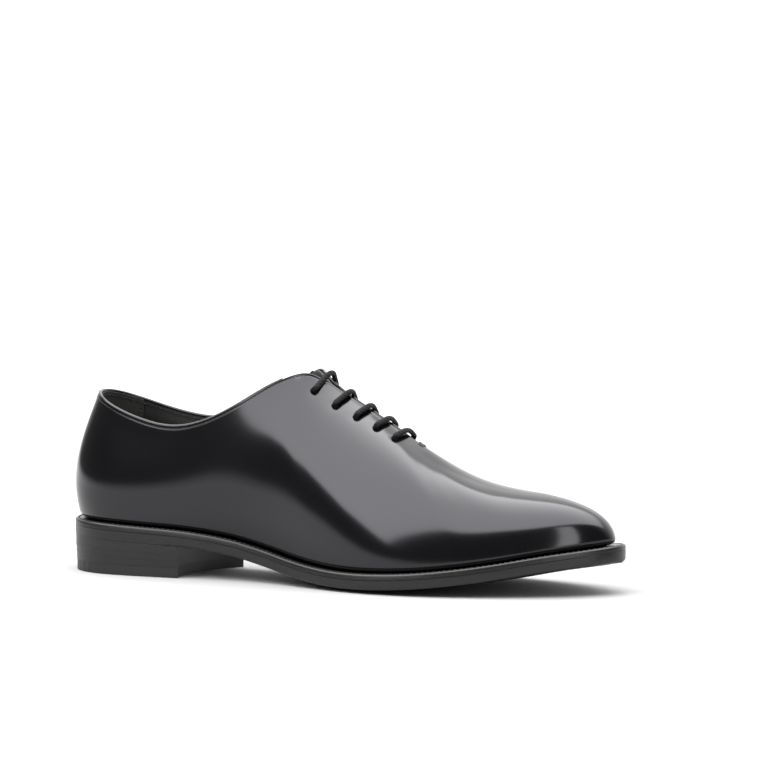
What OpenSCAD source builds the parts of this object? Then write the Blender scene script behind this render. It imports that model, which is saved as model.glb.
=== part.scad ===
// Leather oxford shoe for the right foot: a plain one-piece upper, closed over a tongue by five
// straight laces, on a welted leather sole with a stacked heel.
// Millimetres. +X points at the toe, +Y at the inner side of the foot, +Z up.

/* [Upper] */
// Thickness of the outer leather
leather_t = 1.3; // [1:0.1:1.5]
// Thickness of the lining leather
lining_t = 0.9; // [0.7:0.1:1]
// Width of the gap between the two facings
slit_gap = 3; // [2:0.5:4]
// Height of the folded edge round the collar
edge_h = 1.1; // [0.8:0.1:1.3]
// Width of the leather turned in under the insole
turn_in = 7; // [5:0.5:7]

/* [Tongue and lace] */
// Thickness of the tongue leather
tongue_t = 1.5; // [1.2:0.1:1.8]
// Diameter of the round lace
lace_d = 2.7; // [2.2:0.1:2.8]
// Height of a lace above the facings where it crosses the gap
lace_rise = 0.8; // [0.8:0.1:1.2]
// Length of the sleeve at each lace end
aglet_len = 14; // [10:1:16]

/* [Sole] */
// Thickness of the welt
welt_t = 3; // [2.5:0.5:3]
// Thickness of the outsole
outsole_t = 5; // [4:0.5:5]
// Width of the welt strip
welt_w = 11; // [9:0.5:11]
// Thickness of the insole
insole_t = 2.5; // [2:0.5:3]
// Thickness of the sock liner
sock_t = 1; // [0.8:0.1:1.2]
// Depth by which the outsole bulges down along its middle
camber = 1.95; // [1:0.05:1.95]

/* [Heel] */
// Thickness of the rubber top piece
top_piece_t = 5.5; // [4:0.5:6]
// Thickness of each full leather lift
lift_t = 3.5; // [3:0.5:4]
// Inward step from one heel layer to the next one down
lift_step = 0.2; // [0:0.1:0.4]
// Radius of the hollow front face of the heel
breast_r = 66.6; // [60:0.2:75]

/* [Hidden] */

// ---- Control stations -------------------------------------------------------------------
// The shoe is a closed loop of upright ribs. Stations 0 to 14 run from the back of the heel
// along the outer side to the tip of the toe, and on to 28 along the inner side.
HALF = 14;
STEPS = 4;
K = 2 * HALF * STEPS;
J = 10;

// Edge of the sole in plan: the outer side, then the inner side, both from the heel forward
SOLE_OUTER = [[4, -20], [22, -34], [48, -35], [74, -33.5], [102, -30.5], [130, -35.5],
    [157, -46], [184, -54], [211, -54.5], [237, -49], [262, -38.5], [284, -25.5], [301, -11]];
SOLE_INNER = [[4, 20], [22, 34], [48, 34], [74, 30.5], [102, 24], [130, 24.5],
    [157, 34.5], [184, 46.5], [211, 51.5], [237, 49.5], [262, 43], [284, 34], [301, 22.5]];
SOLE = both([-1.2, 0], SOLE_OUTER, [310.5, 6], SOLE_INNER);

// Top edge of the upper: collar, facing and then the ridge of the vamp down to the toe
RIDGE = [[163, 0, 90.5], [185, 0, 78.2], [206, 0, 66], [228, 1, 55.5], [249, 2.5, 51.5]];
TOP_OUTER = concat([[15.2, -13.5, 91.3], [27.5, -23.5, 87], [46, -28, 81.3], [70, -29.5, 76.5],
    [96, -29, 86], [118, -26, 101], [134, -14, 110], [143, 0, 102]], RIDGE);
TOP_INNER = concat([[15.2, 13.5, 90.6], [27.5, 23.5, 85.2], [45, 28, 79.4], [70, 29.5, 76.2],
    [95, 29, 86], [116.5, 25.5, 101], [131.5, 13.5, 110], [142.5, 0, 102.3]], RIDGE);
TOP = both([10, 0, 92.7], TOP_OUTER, [264, 4, 50], TOP_INNER);

// How far each rib's curve is pulled from its foot and from its top, and at what angles
FOOT_PULL = alike([25, 24.5, 23, 21, 20, 22, 24, 28, 28, 26, 24, 22, 20, 17.5, 14]);
TOP_PULL = alike([28, 27, 24, 20, 20, 22, 28, 30, 32, 32, 30, 28, 27, 26.5, 26]);
FOOT_LEAN = alike([17, 16.5, 14, 11, 14, 22, 18, 10, 6, 5, 4, 4, 4, 4, 3]);
TOP_DROP = both(68, [69, 75, 80, 82, 82, 78, 45, 24, 18, 12, 2, 0, 0], 0,
    [69, 75, 80, 82, 82, 78, 50, 36, 32, 30, 24, 14, 6]);
// Inset of the upper's foot from the edge of the sole
MARGIN = alike([3, 3, 3, 3, 3, 3.5, 4, 4.5, 5, 5, 5, 5, 5, 5, 5]);

// Height of the welt's top along the shoe
DECK = [[-20, 27.2], [0, 26.7], [25, 26.2], [50, 25.4], [75, 24.2], [100, 21.2], [120, 17.3],
    [140, 13.2], [160, 10.7], [180, 10], [204, 10.8], [225, 12.6], [250, 16], [280, 21.4],
    [308, 25.6], [330, 29]];

// ---- Layers -----------------------------------------------------------------------------
gap = 0.05;
stiffener_t = 0.4;
counter_extra = 0.75;
puff_extra = 0.35;
leather_skive = 0.5;
stiffener_skive = 0.35;
lining_skive = 0.3;
grip_t = 0.7;
tab_t = 0.6;
THROAT = 42;
LINING_SEAM = 33;

// ---- Eyelets and lace -------------------------------------------------------------------
// Station and height up the rib of each eyelet, from the collar down
EYELETS = [[7.72, 0.9], [8.38, 0.87], [8.92, 0.87], [9.4, 0.87], [9.85, 0.87]];
// Further rise of each bar of the lace, from the collar down
BAR_RISE = [2.1, 0.3, 0.1, 0, 0];
lace_r = lace_d / 2;
hole_r = lace_r + 0.45;
eyelet_bore_r = lace_r + 0.4;
eyelet_r = eyelet_bore_r + 0.7;
eyelet_rim_r = eyelet_r + 0.9;
tube_in = 1.8;
rim_in = 3.1;
rim_t = 0.3;
run_in = rim_in + rim_t + lace_r + 0.3;
turn_r = 1.7;

// ---- Tongue -----------------------------------------------------------------------------
TONGUE_ROOT = [203, 128];
TONGUE_HALF = [14, 22];
tongue_lining_t = 0.95;
RIDGE_LINE = [[143.2, 100.7], [197.1, 71.7]];
RIDGE_OUT = unit([RIDGE_LINE[0].y - RIDGE_LINE[1].y, 0, RIDGE_LINE[1].x - RIDGE_LINE[0].x]);

// ---- Heel -------------------------------------------------------------------------------
BREAST = [134.2, -8.2];
NAIL_STATIONS = [-14, -9, -3, 3, 9, 14];
nail_r = 1;
nail_inset = 9;
heel_seat = welt_t + outsole_t;

// ---- Frame: the middle of the sole's box is the origin ------------------------------------
EDGE = [for (k = [0:K - 1]) bs(SOLE, k / STEPS)];
origin_x = (min([for (p = EDGE) p.x]) + max([for (p = EDGE) p.x])) / 2;
origin_y = (min([for (p = EDGE) p.y]) + max([for (p = EDGE) p.y])) / 2;

// ---- Functions --------------------------------------------------------------------------
function backward(list) = [for (i = [len(list) - 1:-1:0]) list[i]];
function both(back, outer, tip, inner) = concat([back], outer, [tip], backward(inner));
function alike(list) = concat(list, [for (i = [HALF - 1:-1:1]) list[i]]);
function unit(v) = v / norm(v);
function ease(a, b, x) = let (s = min(max((x - a) / (b - a), 0), 1)) s * s * (3 - 2 * s);
function wrap(t) = (t + 2 * HALF) % (2 * HALF);
function station(t) = min(wrap(t), 2 * HALF - wrap(t));

// Uniform cubic B-spline through the closed list c
function bs(c, t) =
    let (n = len(c), w = wrap(t), i = floor(w), f = w - i)
    ((1 - f) ^ 3 * c[(i + n - 1) % n] + (3 * f ^ 3 - 6 * f ^ 2 + 4) * c[i % n]
        + (-3 * f ^ 3 + 3 * f ^ 2 + 3 * f + 1) * c[(i + 1) % n] + f ^ 3 * c[(i + 2) % n]) / 6;

// Height of the deck at x, on a smooth curve through its points
function deck_slope(i) = (DECK[i + 1].y - DECK[i - 1].y) / (DECK[i + 1].x - DECK[i - 1].x);
function deck(x) =
    let (i = max([for (i = [1:len(DECK) - 3]) if (i == 1 || DECK[i].x <= x) i]),
        h = DECK[i + 1].x - DECK[i].x, s = (x - DECK[i].x) / h)
    (2 * s ^ 3 - 3 * s ^ 2 + 1) * DECK[i].y + (s ^ 3 - 2 * s ^ 2 + s) * h * deck_slope(i)
        + (3 * s ^ 2 - 2 * s ^ 3) * DECK[i + 1].y + (s ^ 3 - s ^ 2) * h * deck_slope(i + 1);

// Outward direction of the sole's edge, and the point at an inset from it
function side_out(t) = let (d = unit(bs(SOLE, t + 0.001) - bs(SOLE, t - 0.001))) [d.y, -d.x];
function inset(t, by) = bs(SOLE, t) - side_out(t) * by;
function on_deck(p, lift) = [p.x, p.y, deck(p.x) + lift];

// Top edge of a rib: the spline, parted by half the slit and lowered by the folded edge
function slit_half(u) = slit_gap / 2 * ease(7, 8, u) * (1 - ease(9.95, 10.35, u));
function top_point(t) =
    let (u = station(t), side = wrap(t) <= HALF ? -1 : 1)
    bs(TOP, t) + [0, side * slit_half(u), -edge_h * (1 - ease(6.5, 7.5, u))];
function top_slope(t) =
    let (d = bs(TOP, t + 0.001) - bs(TOP, t - 0.001))
    (abs(d.x) > 1e-7 ? d.z / d.x : -0.12) * ease(9.5, 10.8, station(t));

// The four control points of a rib, and a point on it
function rib(t) =
    let (foot = on_deck(inset(t, bs(MARGIN, t)), 0), top = top_point(t), n = side_out(t),
        lean = bs(FOOT_LEAN, t), drop = bs(TOP_DROP, t),
        up = [n.x * sin(lean), n.y * sin(lean), cos(lean)],
        out = [n.x * cos(drop), n.y * cos(drop), top_slope(t) * n.x * cos(drop) - sin(drop)])
    [foot, foot + bs(FOOT_PULL, t) * up, top + bs(TOP_PULL, t) * out, top];
function on_rib(r, v) =
    (1 - v) ^ 3 * r[0] + 3 * (1 - v) ^ 2 * v * r[1] + 3 * (1 - v) * v ^ 2 * r[2] + v ^ 3 * r[3];
function on_upper(t, v) = on_rib(rib(t), v);
function out_of_upper(t, v) =
    unit(cross(on_upper(t + 0.02, v) - on_upper(t - 0.02, v), on_upper(t, v + 0.01) - on_upper(t, v - 0.01)));

// The grid of points on the upper's outside, and the outward direction at each of them
GRID = [for (k = [0:K - 1]) let (r = rib(k / STEPS)) [for (j = [0:J]) on_rib(r, j / J)]];
function closed(k) = k >= THROAT && k <= K - THROAT;
function raw_out(k, j) =
    let (row = k == K / 2 ? min(j, J - 1) : j)
    cross(GRID[(k + 1) % K][row] - GRID[(k + K - 1) % K][row],
        GRID[k][min(j + 1, J)] - GRID[k][max(j - 1, 0)]);
function grid_out(k, j) =
    j == J && closed(k) ? unit(unit(raw_out(k, j)) + unit(raw_out(K - k, j))) : unit(raw_out(k, j));
OUTWARD = [for (k = [0:K - 1]) [for (j = [0:J]) grid_out(k, j)]];

// A point at a depth inside the upper's surface. Row 0 is the foot, on the deck at the given
// lift, and row -1 is the edge of the leather turned in under the insole.
function layer_point(k, j, depth, lift) =
    let (kk = (k + K) % K, t = kk / STEPS)
    j < 0 ? on_deck(inset(t, bs(MARGIN, t) + turn_in), lift)
        : j == 0 ? on_deck(inset(t, bs(MARGIN, t) + depth), lift)
        : GRID[kk][j] - OUTWARD[kk][j] * depth;

// Share by which every layer is thinned to reach the folded edge of the collar
function skived(k, j) = (1 - ease(6.2, 7.2, station(k / STEPS))) * ease(0.85, 1, j / J);
function leather_in(k, j) = leather_t - leather_skive * skived(k, j);

// Thickness of the stiffener space between upper and lining
function stiffener(k, j) =
    let (u = station(k / STEPS), v = j / J)
    stiffener_t + gap + counter_extra * (1 - ease(3, 4.2, u)) * (1 - ease(0.45, 0.65, v))
        + puff_extra * ease(11.2, 12.2, u) - stiffener_skive * skived(k, j);
function lining_in(k, j) = leather_in(k, j) + 2 * gap + stiffener(k, j);
function lining_out(k, j) = lining_in(k, j) + lining_t - lining_skive * skived(k, j);

// ---- Shapes -----------------------------------------------------------------------------
module placed() {
    translate([-origin_x, -origin_y, 0]) children();
}

// Turns +Z to the direction d and moves the children to p
module along(p, d) {
    translate(p) rotate([0, acos(d.z), atan2(d.y, d.x)]) children();
}

// Closed solid between two grids of points, outer and inner. shared gives the column whose
// points a column borrows, and sewn says where the top edge is already joined to itself.
module skin(outer, inner, loop = false, shared = function(k, j) k, sewn = function(k) false) {
    rows = len(outer[0]);
    count = len(outer) * rows;
    last = loop ? len(outer) : len(outer) - 1;
    top = rows - 1;
    id = function(s, k, j) s * count + shared(loop && k == last ? 0 : k, j) * rows + j;
    sheets = [for (k = [0:last - 1]) for (j = [0:top - 1]) each [
        [id(0, k, j), id(0, k, j + 1), id(0, k + 1, j + 1)],
        [id(0, k, j), id(0, k + 1, j + 1), id(0, k + 1, j)],
        [id(1, k, j), id(1, k + 1, j + 1), id(1, k, j + 1)],
        [id(1, k, j), id(1, k + 1, j), id(1, k + 1, j + 1)]]];
    feet = [for (k = [0:last - 1]) each [
        [id(0, k, 0), id(0, k + 1, 0), id(1, k + 1, 0)],
        [id(0, k, 0), id(1, k + 1, 0), id(1, k, 0)]]];
    tops = [for (k = [0:last - 1]) if (!sewn(k)) each [
        [id(0, k, top), id(1, k + 1, top), id(0, k + 1, top)],
        [id(0, k, top), id(1, k, top), id(1, k + 1, top)]]];
    ends = loop ? [] : [for (j = [0:top - 1]) each [
        [id(0, 0, j), id(1, 0, j), id(1, 0, j + 1)],
        [id(0, 0, j), id(1, 0, j + 1), id(0, 0, j + 1)],
        [id(0, last, j), id(1, last, j + 1), id(1, last, j)],
        [id(0, last, j), id(0, last, j + 1), id(1, last, j + 1)]]];
    polyhedron(concat([for (c = outer) each c], [for (c = inner) each c]),
        concat(sheets, feet, tops, ends));
}

// Shell between two depths of the upper's surface, for stations ka to kb and rows ja to jb.
// Both sides share the points of the closed ridge in front of the throat.
module shell(ka, kb, ja, jb, outer, inner, lifts, loop = false) {
    columns = [ka:loop ? kb - 1 : kb];
    joined = function(k) jb == J && closed(k);
    skin([for (k = columns) [for (j = [ja:jb]) layer_point(k, j, outer(k, j), lifts[0])]],
        [for (k = columns) [for (j = [ja:jb]) layer_point(k, j, inner(k, j), lifts[1])]],
        loop,
        function(k, j) j == jb - ja && joined(k + ka) ? min(k + ka, K - k - ka) - ka : k,
        function(k) joined(k + ka) && joined(k + ka + 1));
}

// Closed solid through rings of points, each ring turning the same way, with flat ends
module swept(rings) {
    m = len(rings[0]);
    n = len(rings);
    sides = [for (i = [0:n - 2]) for (j = [0:m - 1]) let (a = i * m + j, b = i * m + (j + 1) % m)
        each [[a, b, b + m], [a, b + m, a + m]]];
    ends = [[for (j = [m - 1:-1:0]) j], [for (j = [0:m - 1]) (n - 1) * m + j]];
    polyhedron([for (r = rings) each r], concat(sides, ends));
}

// Prism inside the sole's edge, at an inset of by plus of_margin times the upper's margin
module plan(by, of_margin = 0) {
    linear_extrude(height = 60)
        polygon([for (k = [0:K - 1]) let (t = k / STEPS) inset(t, by + of_margin * bs(MARGIN, t))]);
}

// Slab across the whole shoe between two heights over the deck, from x0 to x1
module band(low, high, x0 = -6, x1 = 316) {
    step = 6;
    n = ceil((x1 - x0) / step);
    xs = [for (i = [0:n]) x0 + (x1 - x0) * i / n];
    rotate([90, 0, 0]) linear_extrude(height = 160, center = true)
        polygon(concat([for (x = xs) [x, deck(x) + low(x)]],
            [for (x = backward(xs)) [x, deck(x) + high(x)]]));
}

// ---- Upper ------------------------------------------------------------------------------
// Points and directions of the eyelets on both facings
EYELET_SPOTS = [for (e = EYELETS) for (t = [e.x, 2 * HALF - e.x])
    [on_upper(t, e.y), out_of_upper(t, e.y)]];

module eyelet_holes(r) {
    for (e = EYELET_SPOTS) along(e[0], e[1]) cylinder(h = 9, r = r, center = true, $fn = 24);
}

module upper() {
    color([0.07, 0.07, 0.08]) placed() difference() {
        shell(0, K, -1, J, function(k, j) 0, function(k, j) leather_in(k, j),
            [gap, gap + leather_t], loop = true);
        eyelet_holes(hole_r);
    }
}

module lining_part(ka, kb) {
    placed() difference() {
        shell(ka, kb, 0, J, function(k, j) lining_in(k, j), function(k, j) lining_out(k, j),
            (leather_t + 3 * gap) * [1, 1]);
        eyelet_holes(eyelet_r + 3 * gap);
    }
}

module vamp_lining() {
    color([0.16, 0.14, 0.13]) lining_part(LINING_SEAM, K - LINING_SEAM);
}

module quarter_lining() {
    color([0.13, 0.12, 0.11]) lining_part(-LINING_SEAM, LINING_SEAM);
}

module heel_grip() {
    color([0.18, 0.17, 0.16]) placed()
        shell(-7, 7, 2, J, function(k, j) lining_out(k, j) + gap,
            function(k, j) lining_out(k, j) + gap + grip_t, [0, 0]);
}

module stiffener_part(ka, kb, ja, jb) {
    lift = (leather_t + 3 * gap) * [1, 1];
    shell(ka, kb, ja, jb, function(k, j) leather_in(k, j) + gap,
        function(k, j) leather_in(k, j) + stiffener(k, j), lift);
}

module heel_counter() {
    color([0.45, 0.33, 0.22]) placed() stiffener_part(-17, 17, 0, 7);
}

module toe_puff() {
    color([0.5, 0.38, 0.26]) placed() stiffener_part(46, K - 46, 0, J);
}

module facing_stay(ka, kb) {
    color([0.6, 0.5, 0.4]) placed() difference() {
        stiffener_part(ka, kb, 6, J);
        eyelet_holes(eyelet_r + 3 * gap);
    }
}

module facing_stay_lateral() {
    facing_stay(28, THROAT - 2);
}

module facing_stay_medial() {
    facing_stay(K - THROAT + 2, K - 28);
}

// The folded edge that caps upper and lining round the collar
module collar_edge() {
    color([0.1, 0.1, 0.11]) placed() swept([for (k = [-26:26])
        let (kk = (k + K) % K, rise = unit(GRID[kk][J] - GRID[kk][J - 1]), over = lining_out(kk, J),
            profile = [[0.1, gap], [0.15, edge_h / 2], [-0.25, edge_h], [-over + 0.25, edge_h],
                [-over - 0.1, edge_h / 2], [-over, gap]])
        [for (p = profile) GRID[kk][J] + p.x * OUTWARD[kk][J] + p.y * rise]]);
}

module back_tab() {
    color([0.09, 0.09, 0.1]) placed()
        shell(-1, 1, 9, J, function(k, j) -tab_t, function(k, j) -gap, [0, 0]);
}

module throat_tack() {
    spot = top_point(THROAT / STEPS);
    color([0.05, 0.05, 0.06]) placed()
        translate(spot + 0.95 * OUTWARD[THROAT][J]) rotate([90, 0, 0])
            cylinder(h = 6, r = 0.75, center = true, $fn = 20);
}

module eyelets() {
    color([0.2, 0.2, 0.21]) placed() for (e = EYELET_SPOTS) along(e[0], -e[1])
        rotate_extrude($fn = 32) polygon([[eyelet_bore_r, tube_in], [eyelet_r, tube_in],
            [eyelet_r, rim_in], [eyelet_rim_r, rim_in], [eyelet_rim_r, rim_in + rim_t],
            [eyelet_bore_r, rim_in + rim_t]]);
}

// ---- Tongue -----------------------------------------------------------------------------
// Fall of the facings to either side of the ridge, per millimetre from it
function tongue_fall(x, y) =
    let (s = (x - 145) / 45)
    y < 0 ? 0.86 - 0.54 * s : 1 - 0.34 * s;
function ridge_height(x) = RIDGE_LINE[0].y
    + (x - RIDGE_LINE[0].x) * (RIDGE_LINE[1].y - RIDGE_LINE[0].y) / (RIDGE_LINE[1].x - RIDGE_LINE[0].x);
// A point of the tongue: s runs from its root to its end, f from edge to edge
function tongue_point(s, f, drop) =
    let (x = TONGUE_ROOT[0] + (TONGUE_ROOT[1] - TONGUE_ROOT[0]) * s + 7 * s * f ^ 2,
        y = f * (TONGUE_HALF[0] + (TONGUE_HALF[1] - TONGUE_HALF[0]) * s ^ 0.7),
        under = 4.8 + 4.1 * ease(0, 0.25, s) - 4 * ease(0.82, 1, s) * (1 - ease(0.1, 0.5, abs(f))))
    [x, y, ridge_height(x) - under - tongue_fall(x, y) * (sqrt(y ^ 2 + 25) - 5) - drop];

module tongue_layer(top, bottom) {
    m = 10;
    n = 18;
    skin([for (k = [0:m]) [for (j = [0:n]) tongue_point(j / n, 2 * k / m - 1, top)]],
        [for (k = [0:m]) [for (j = [0:n]) tongue_point(j / n, 2 * k / m - 1, bottom)]]);
}

module tongue() {
    color([0.08, 0.08, 0.09]) placed() tongue_layer(0, tongue_t);
}

module tongue_lining() {
    color([0.15, 0.14, 0.13]) placed() tongue_layer(tongue_t + gap, tongue_t + gap + tongue_lining_t);
}

// ---- Lace -------------------------------------------------------------------------------
// An eyelet's place and direction by row and side, where side 0 is the outer one
function spot(row, side) = EYELET_SPOTS[2 * row + side][0];
function spot_out(row, side) = EYELET_SPOTS[2 * row + side][1];
// A point at run depth under a facing
function run_point(u, v, side) =
    let (t = side == 0 ? u : 2 * HALF - u)
    on_upper(t, v) - run_in * out_of_upper(t, v);
// Quarter turn between an eyelet's axis and a direction across it, over or under the facing
function turn_over(row, side, across) =
    let (a = spot(row, side), n = spot_out(row, side))
    [a - 2.4 * n, a - 0.3 * n, a + 0.5 * turn_r * (2 * n * 0.72 + across * 0.5),
        a + turn_r * (0.98 * n + across)];
function turn_under(row, side, across) =
    let (a = spot(row, side) - run_in * spot_out(row, side), n = spot_out(row, side))
    [a + turn_r * across, a + turn_r * (0.35 * n + 0.2 * across)];
// The part of a bar between its two turns, over the roof that the two facings form
function bar(row, from, to) =
    let (a = spot(row, from), b = spot(row, to),
        crown = (on_upper(EYELETS[row].x, 1) - (a + b) / 2) * RIDGE_OUT + BAR_RISE[row])
    [for (f = [0.27, 0.42, 0.58, 0.73])
        a + (b - a) * f + RIDGE_OUT * (crown * (1 - abs(2 * f - 1) ^ 1.3) + lace_r + lace_rise)];
function flat(d, n) = unit(d - (d * n) * n);
function crossing(row, from, to) =
    let (d = unit(spot(row, to) - spot(row, from)))
    concat(turn_over(row, from, flat(d, spot_out(row, from))), bar(row, from, to),
        backward(turn_over(row, to, flat(-d, spot_out(row, to)))));
// A run under one facing from one eyelet to another, past the points given as [u, v]
function run(side, row_a, row_b, past) =
    let (d = unit(spot(row_b, side) - spot(row_a, side)))
    concat(backward(turn_under(row_a, side, d)), [for (p = past) run_point(p.x, p.y, side)],
        turn_under(row_b, side, -d));
// A loose end tucked forward under the collar from its last eyelet
function tail(side, row, past) =
    let (d = unit(run_point(past[0].x, past[0].y, side) - spot(row, side)))
    concat(backward(turn_under(row, side, d)), [for (p = past) run_point(p.x, p.y, side)]);

END_A = [[8.1, 0.83], [7.7, 0.8], [6.5, 0.78]];
END_B = [[7.4, 0.83], [7.1, 0.81], [5.8, 0.76]];
LACE_ROUTE = concat(
    backward(tail(0, 1, END_A)), crossing(1, 0, 1),
    run(1, 1, 3, [[8.65, 0.84], [8.92, 0.8], [9.2, 0.84]]), crossing(3, 1, 0),
    run(0, 3, 4, []), crossing(4, 0, 1),
    run(1, 4, 2, [[9.6, 0.91], [9.4, 0.93], [9.15, 0.91]]), crossing(2, 1, 0),
    run(0, 2, 0, [[8.65, 0.91], [8.38, 0.93], [8.05, 0.91]]), crossing(0, 0, 1),
    tail(1, 0, END_B));

function tangent(p, i) = unit(p[min(i + 1, len(p) - 1)] - p[max(i - 1, 0)]);
function carried(v, d) = unit(v - (v * d) * d);
function frames(p, i, side) =
    i == len(p) ? [] : let (s = carried(side, tangent(p, i))) concat([s], frames(p, i + 1, s));
function round_rings(p, r, sides) =
    let (across = frames(p, 0, [0.3, 0.2, 1]))
    [for (i = [0:len(p) - 1]) let (d = tangent(p, i), w = cross(d, across[i]))
        [for (j = [0:sides - 1]) p[i] + r * (cos(360 * j / sides) * across[i] - sin(360 * j / sides) * w)]];

module lace() {
    color([0.12, 0.12, 0.12]) placed() swept(round_rings(LACE_ROUTE, lace_r, 8));
}

module aglets() {
    n = len(LACE_ROUTE);
    color([0.3, 0.3, 0.3]) placed() for (e = [[0, 1], [n - 1, n - 2]])
        let (d = unit(LACE_ROUTE[e[1]] - LACE_ROUTE[e[0]]))
        along(LACE_ROUTE[e[0]] - d * 0.5, d) difference() {
            cylinder(h = aglet_len, r = lace_r + 0.35, $fn = 24);
            translate([0, 0, 0.5]) cylinder(h = aglet_len, r = lace_r + 0.05, $fn = 24);
        }
}

// ---- Bottom -----------------------------------------------------------------------------
module welt() {
    color([0.2, 0.2, 0.19]) placed() difference() {
        intersection() {
            plan(0);
            band(function(x) -welt_t, function(x) 0);
        }
        plan(welt_w);
    }
}

// Space inside the welt, under the insole
module seat_layer(low, high) {
    intersection() {
        plan(welt_w + 0.1);
        band(low, high);
    }
}

SHANK = [40, 128];
SHANK_W = 14;
SHANK_Y = -3;
module shank_box(extra) {
    translate([SHANK[0] - extra, SHANK_Y - SHANK_W / 2 - extra, 0])
        cube([SHANK[1] - SHANK[0] + 2 * extra, SHANK_W + 2 * extra, 60]);
}

module shank() {
    color([0.6, 0.6, 0.62]) placed() intersection() {
        shank_box(0);
        band(function(x) 0.5 - welt_t, function(x) 1.9 - welt_t);
    }
}

module seat_filler() {
    color([0.55, 0.42, 0.3]) placed() difference() {
        seat_layer(function(x) gap - welt_t, function(x) -gap);
        translate([SHANK[1], -80, 0]) cube([200, 160, 60]);
        shank_box(0.1);
    }
}

module cork_filler() {
    color([0.6, 0.45, 0.28]) placed() difference() {
        seat_layer(function(x) gap - welt_t, function(x) -gap);
        translate([-20, -80, 0]) cube([20 + SHANK[1] + 0.2, 160, 60]);
    }
}

insole_low = leather_t + 3 * gap;
inner_inset = leather_t + 2 * gap + stiffener_t + counter_extra + lining_t + 0.3;
module insole() {
    color([0.72, 0.58, 0.42]) placed() intersection() {
        plan(inner_inset, 1);
        band(function(x) insole_low, function(x) insole_low + insole_t);
    }
}

pad_t = 1.5;
sock_low = insole_low + insole_t + gap;
function pad_rise(x) = pad_t * (1 - ease(66, 82, x));
module heel_pad() {
    color([0.8, 0.7, 0.4]) placed() intersection() {
        plan(inner_inset + 1, 1);
        band(function(x) sock_low, function(x) sock_low - gap + pad_rise(x), 0, 72);
    }
}

module sock_liner() {
    color([0.2, 0.18, 0.16]) placed() intersection() {
        plan(inner_inset, 1);
        band(function(x) sock_low + pad_rise(x), function(x) sock_low + pad_rise(x) + sock_t);
    }
}

// The outsole is built across the shoe, from each station to its partner on the inner side
function sole_point(k, f, low) =
    let (a = EDGE[k], b = EDGE[(K - k) % K], p = a + (b - a) * f,
        bulge = camber * 4 * f * (1 - f) * ease(80, 125, p.x) * (1 - 0.4 * ease(250, 310, p.x)))
    on_deck(p, low ? -heel_seat - bulge : -welt_t - gap);

module outsole() {
    n = 6;
    half = K / 2;
    row = n + 1;
    total = (half + 1) * row;
    points = [for (low = [false, true]) for (k = [0:half]) for (i = [0:n]) sole_point(k, i / n, low)];
    // The rows at the heel and at the toe are single points, so only their first copy is used
    id = function(s, k, i) s * total + k * row + (k == 0 || k == half ? 0 : i);
    tops = [for (k = [0:half - 1]) for (i = [0:n - 1]) each concat(
        k == half - 1 ? [] : [[id(0, k, i), id(0, k + 1, i + 1), id(0, k + 1, i)]],
        k == 0 ? [] : [[id(0, k, i), id(0, k, i + 1), id(0, k + 1, i + 1)]])];
    lows = [for (f = tops) backward([for (v = f) v + total])];
    rims = [for (k = [0:half - 1]) each [
        [id(0, k, 0), id(0, k + 1, 0), id(1, k + 1, 0)],
        [id(0, k, 0), id(1, k + 1, 0), id(1, k, 0)],
        [id(0, k, n), id(1, k + 1, n), id(0, k + 1, n)],
        [id(0, k, n), id(1, k, n), id(1, k + 1, n)]]];
    color([0.22, 0.21, 0.2]) placed() polyhedron(points, concat(tops, lows, rims));
}

// ---- Heel -------------------------------------------------------------------------------
// One layer of the heel between two heights, stepped in by its number of lifts
module heel_layer(low, high, steps) {
    difference() {
        translate([0, 0, low]) linear_extrude(height = high - low)
            polygon([for (k = [-18:18]) inset(k / STEPS, lift_step * steps)]);
        translate([BREAST.x, BREAST.y, low - 1]) cylinder(h = high - low + 2, r = breast_r, $fn = 96);
    }
}

module nails(r, low, high) {
    for (k = NAIL_STATIONS) let (p = inset(k / STEPS, nail_inset))
        translate([p.x, p.y, low]) cylinder(h = high - low, r = r, $fn = 20);
}

lift_3_low = top_piece_t + gap;
lift_2_low = lift_3_low + lift_t + gap;
lift_1_low = lift_2_low + lift_t + gap;
nail_top = lift_1_low + 1.5;
module heel_lift_1() {
    color([0.2, 0.19, 0.18]) placed() difference() {
        intersection() {
            heel_layer(lift_1_low, 24, 1);
            band(function(x) -40, function(x) -heel_seat - gap, -6, 126);
        }
        nails(nail_r + gap, lift_1_low - 1, nail_top + gap);
    }
}

module heel_lift_2() {
    color([0.22, 0.21, 0.2]) placed() difference() {
        heel_layer(lift_2_low, lift_2_low + lift_t, 2);
        nails(nail_r + gap, 0, 30);
    }
}

module heel_lift_3() {
    color([0.2, 0.19, 0.18]) placed() difference() {
        heel_layer(lift_3_low, lift_3_low + lift_t, 3);
        nails(nail_r + gap, 0, 30);
    }
}

module top_piece() {
    color([0.1, 0.1, 0.1]) placed() difference() {
        heel_layer(0, top_piece_t, 4);
        nails(nail_r + gap, -1, 30);
    }
}

module heel_nails() {
    color([0.7, 0.6, 0.3]) placed() nails(nail_r, 0.6, nail_top);
}

upper();
vamp_lining();
quarter_lining();
heel_grip();
heel_counter();
toe_puff();
facing_stay_lateral();
facing_stay_medial();
collar_edge();
back_tab();
throat_tack();
eyelets();
tongue();
tongue_lining();
lace();
aglets();
welt();
insole();
heel_pad();
sock_liner();
shank();
seat_filler();
cork_filler();
outsole();
heel_lift_1();
heel_lift_2();
heel_lift_3();
top_piece();
heel_nails();
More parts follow.
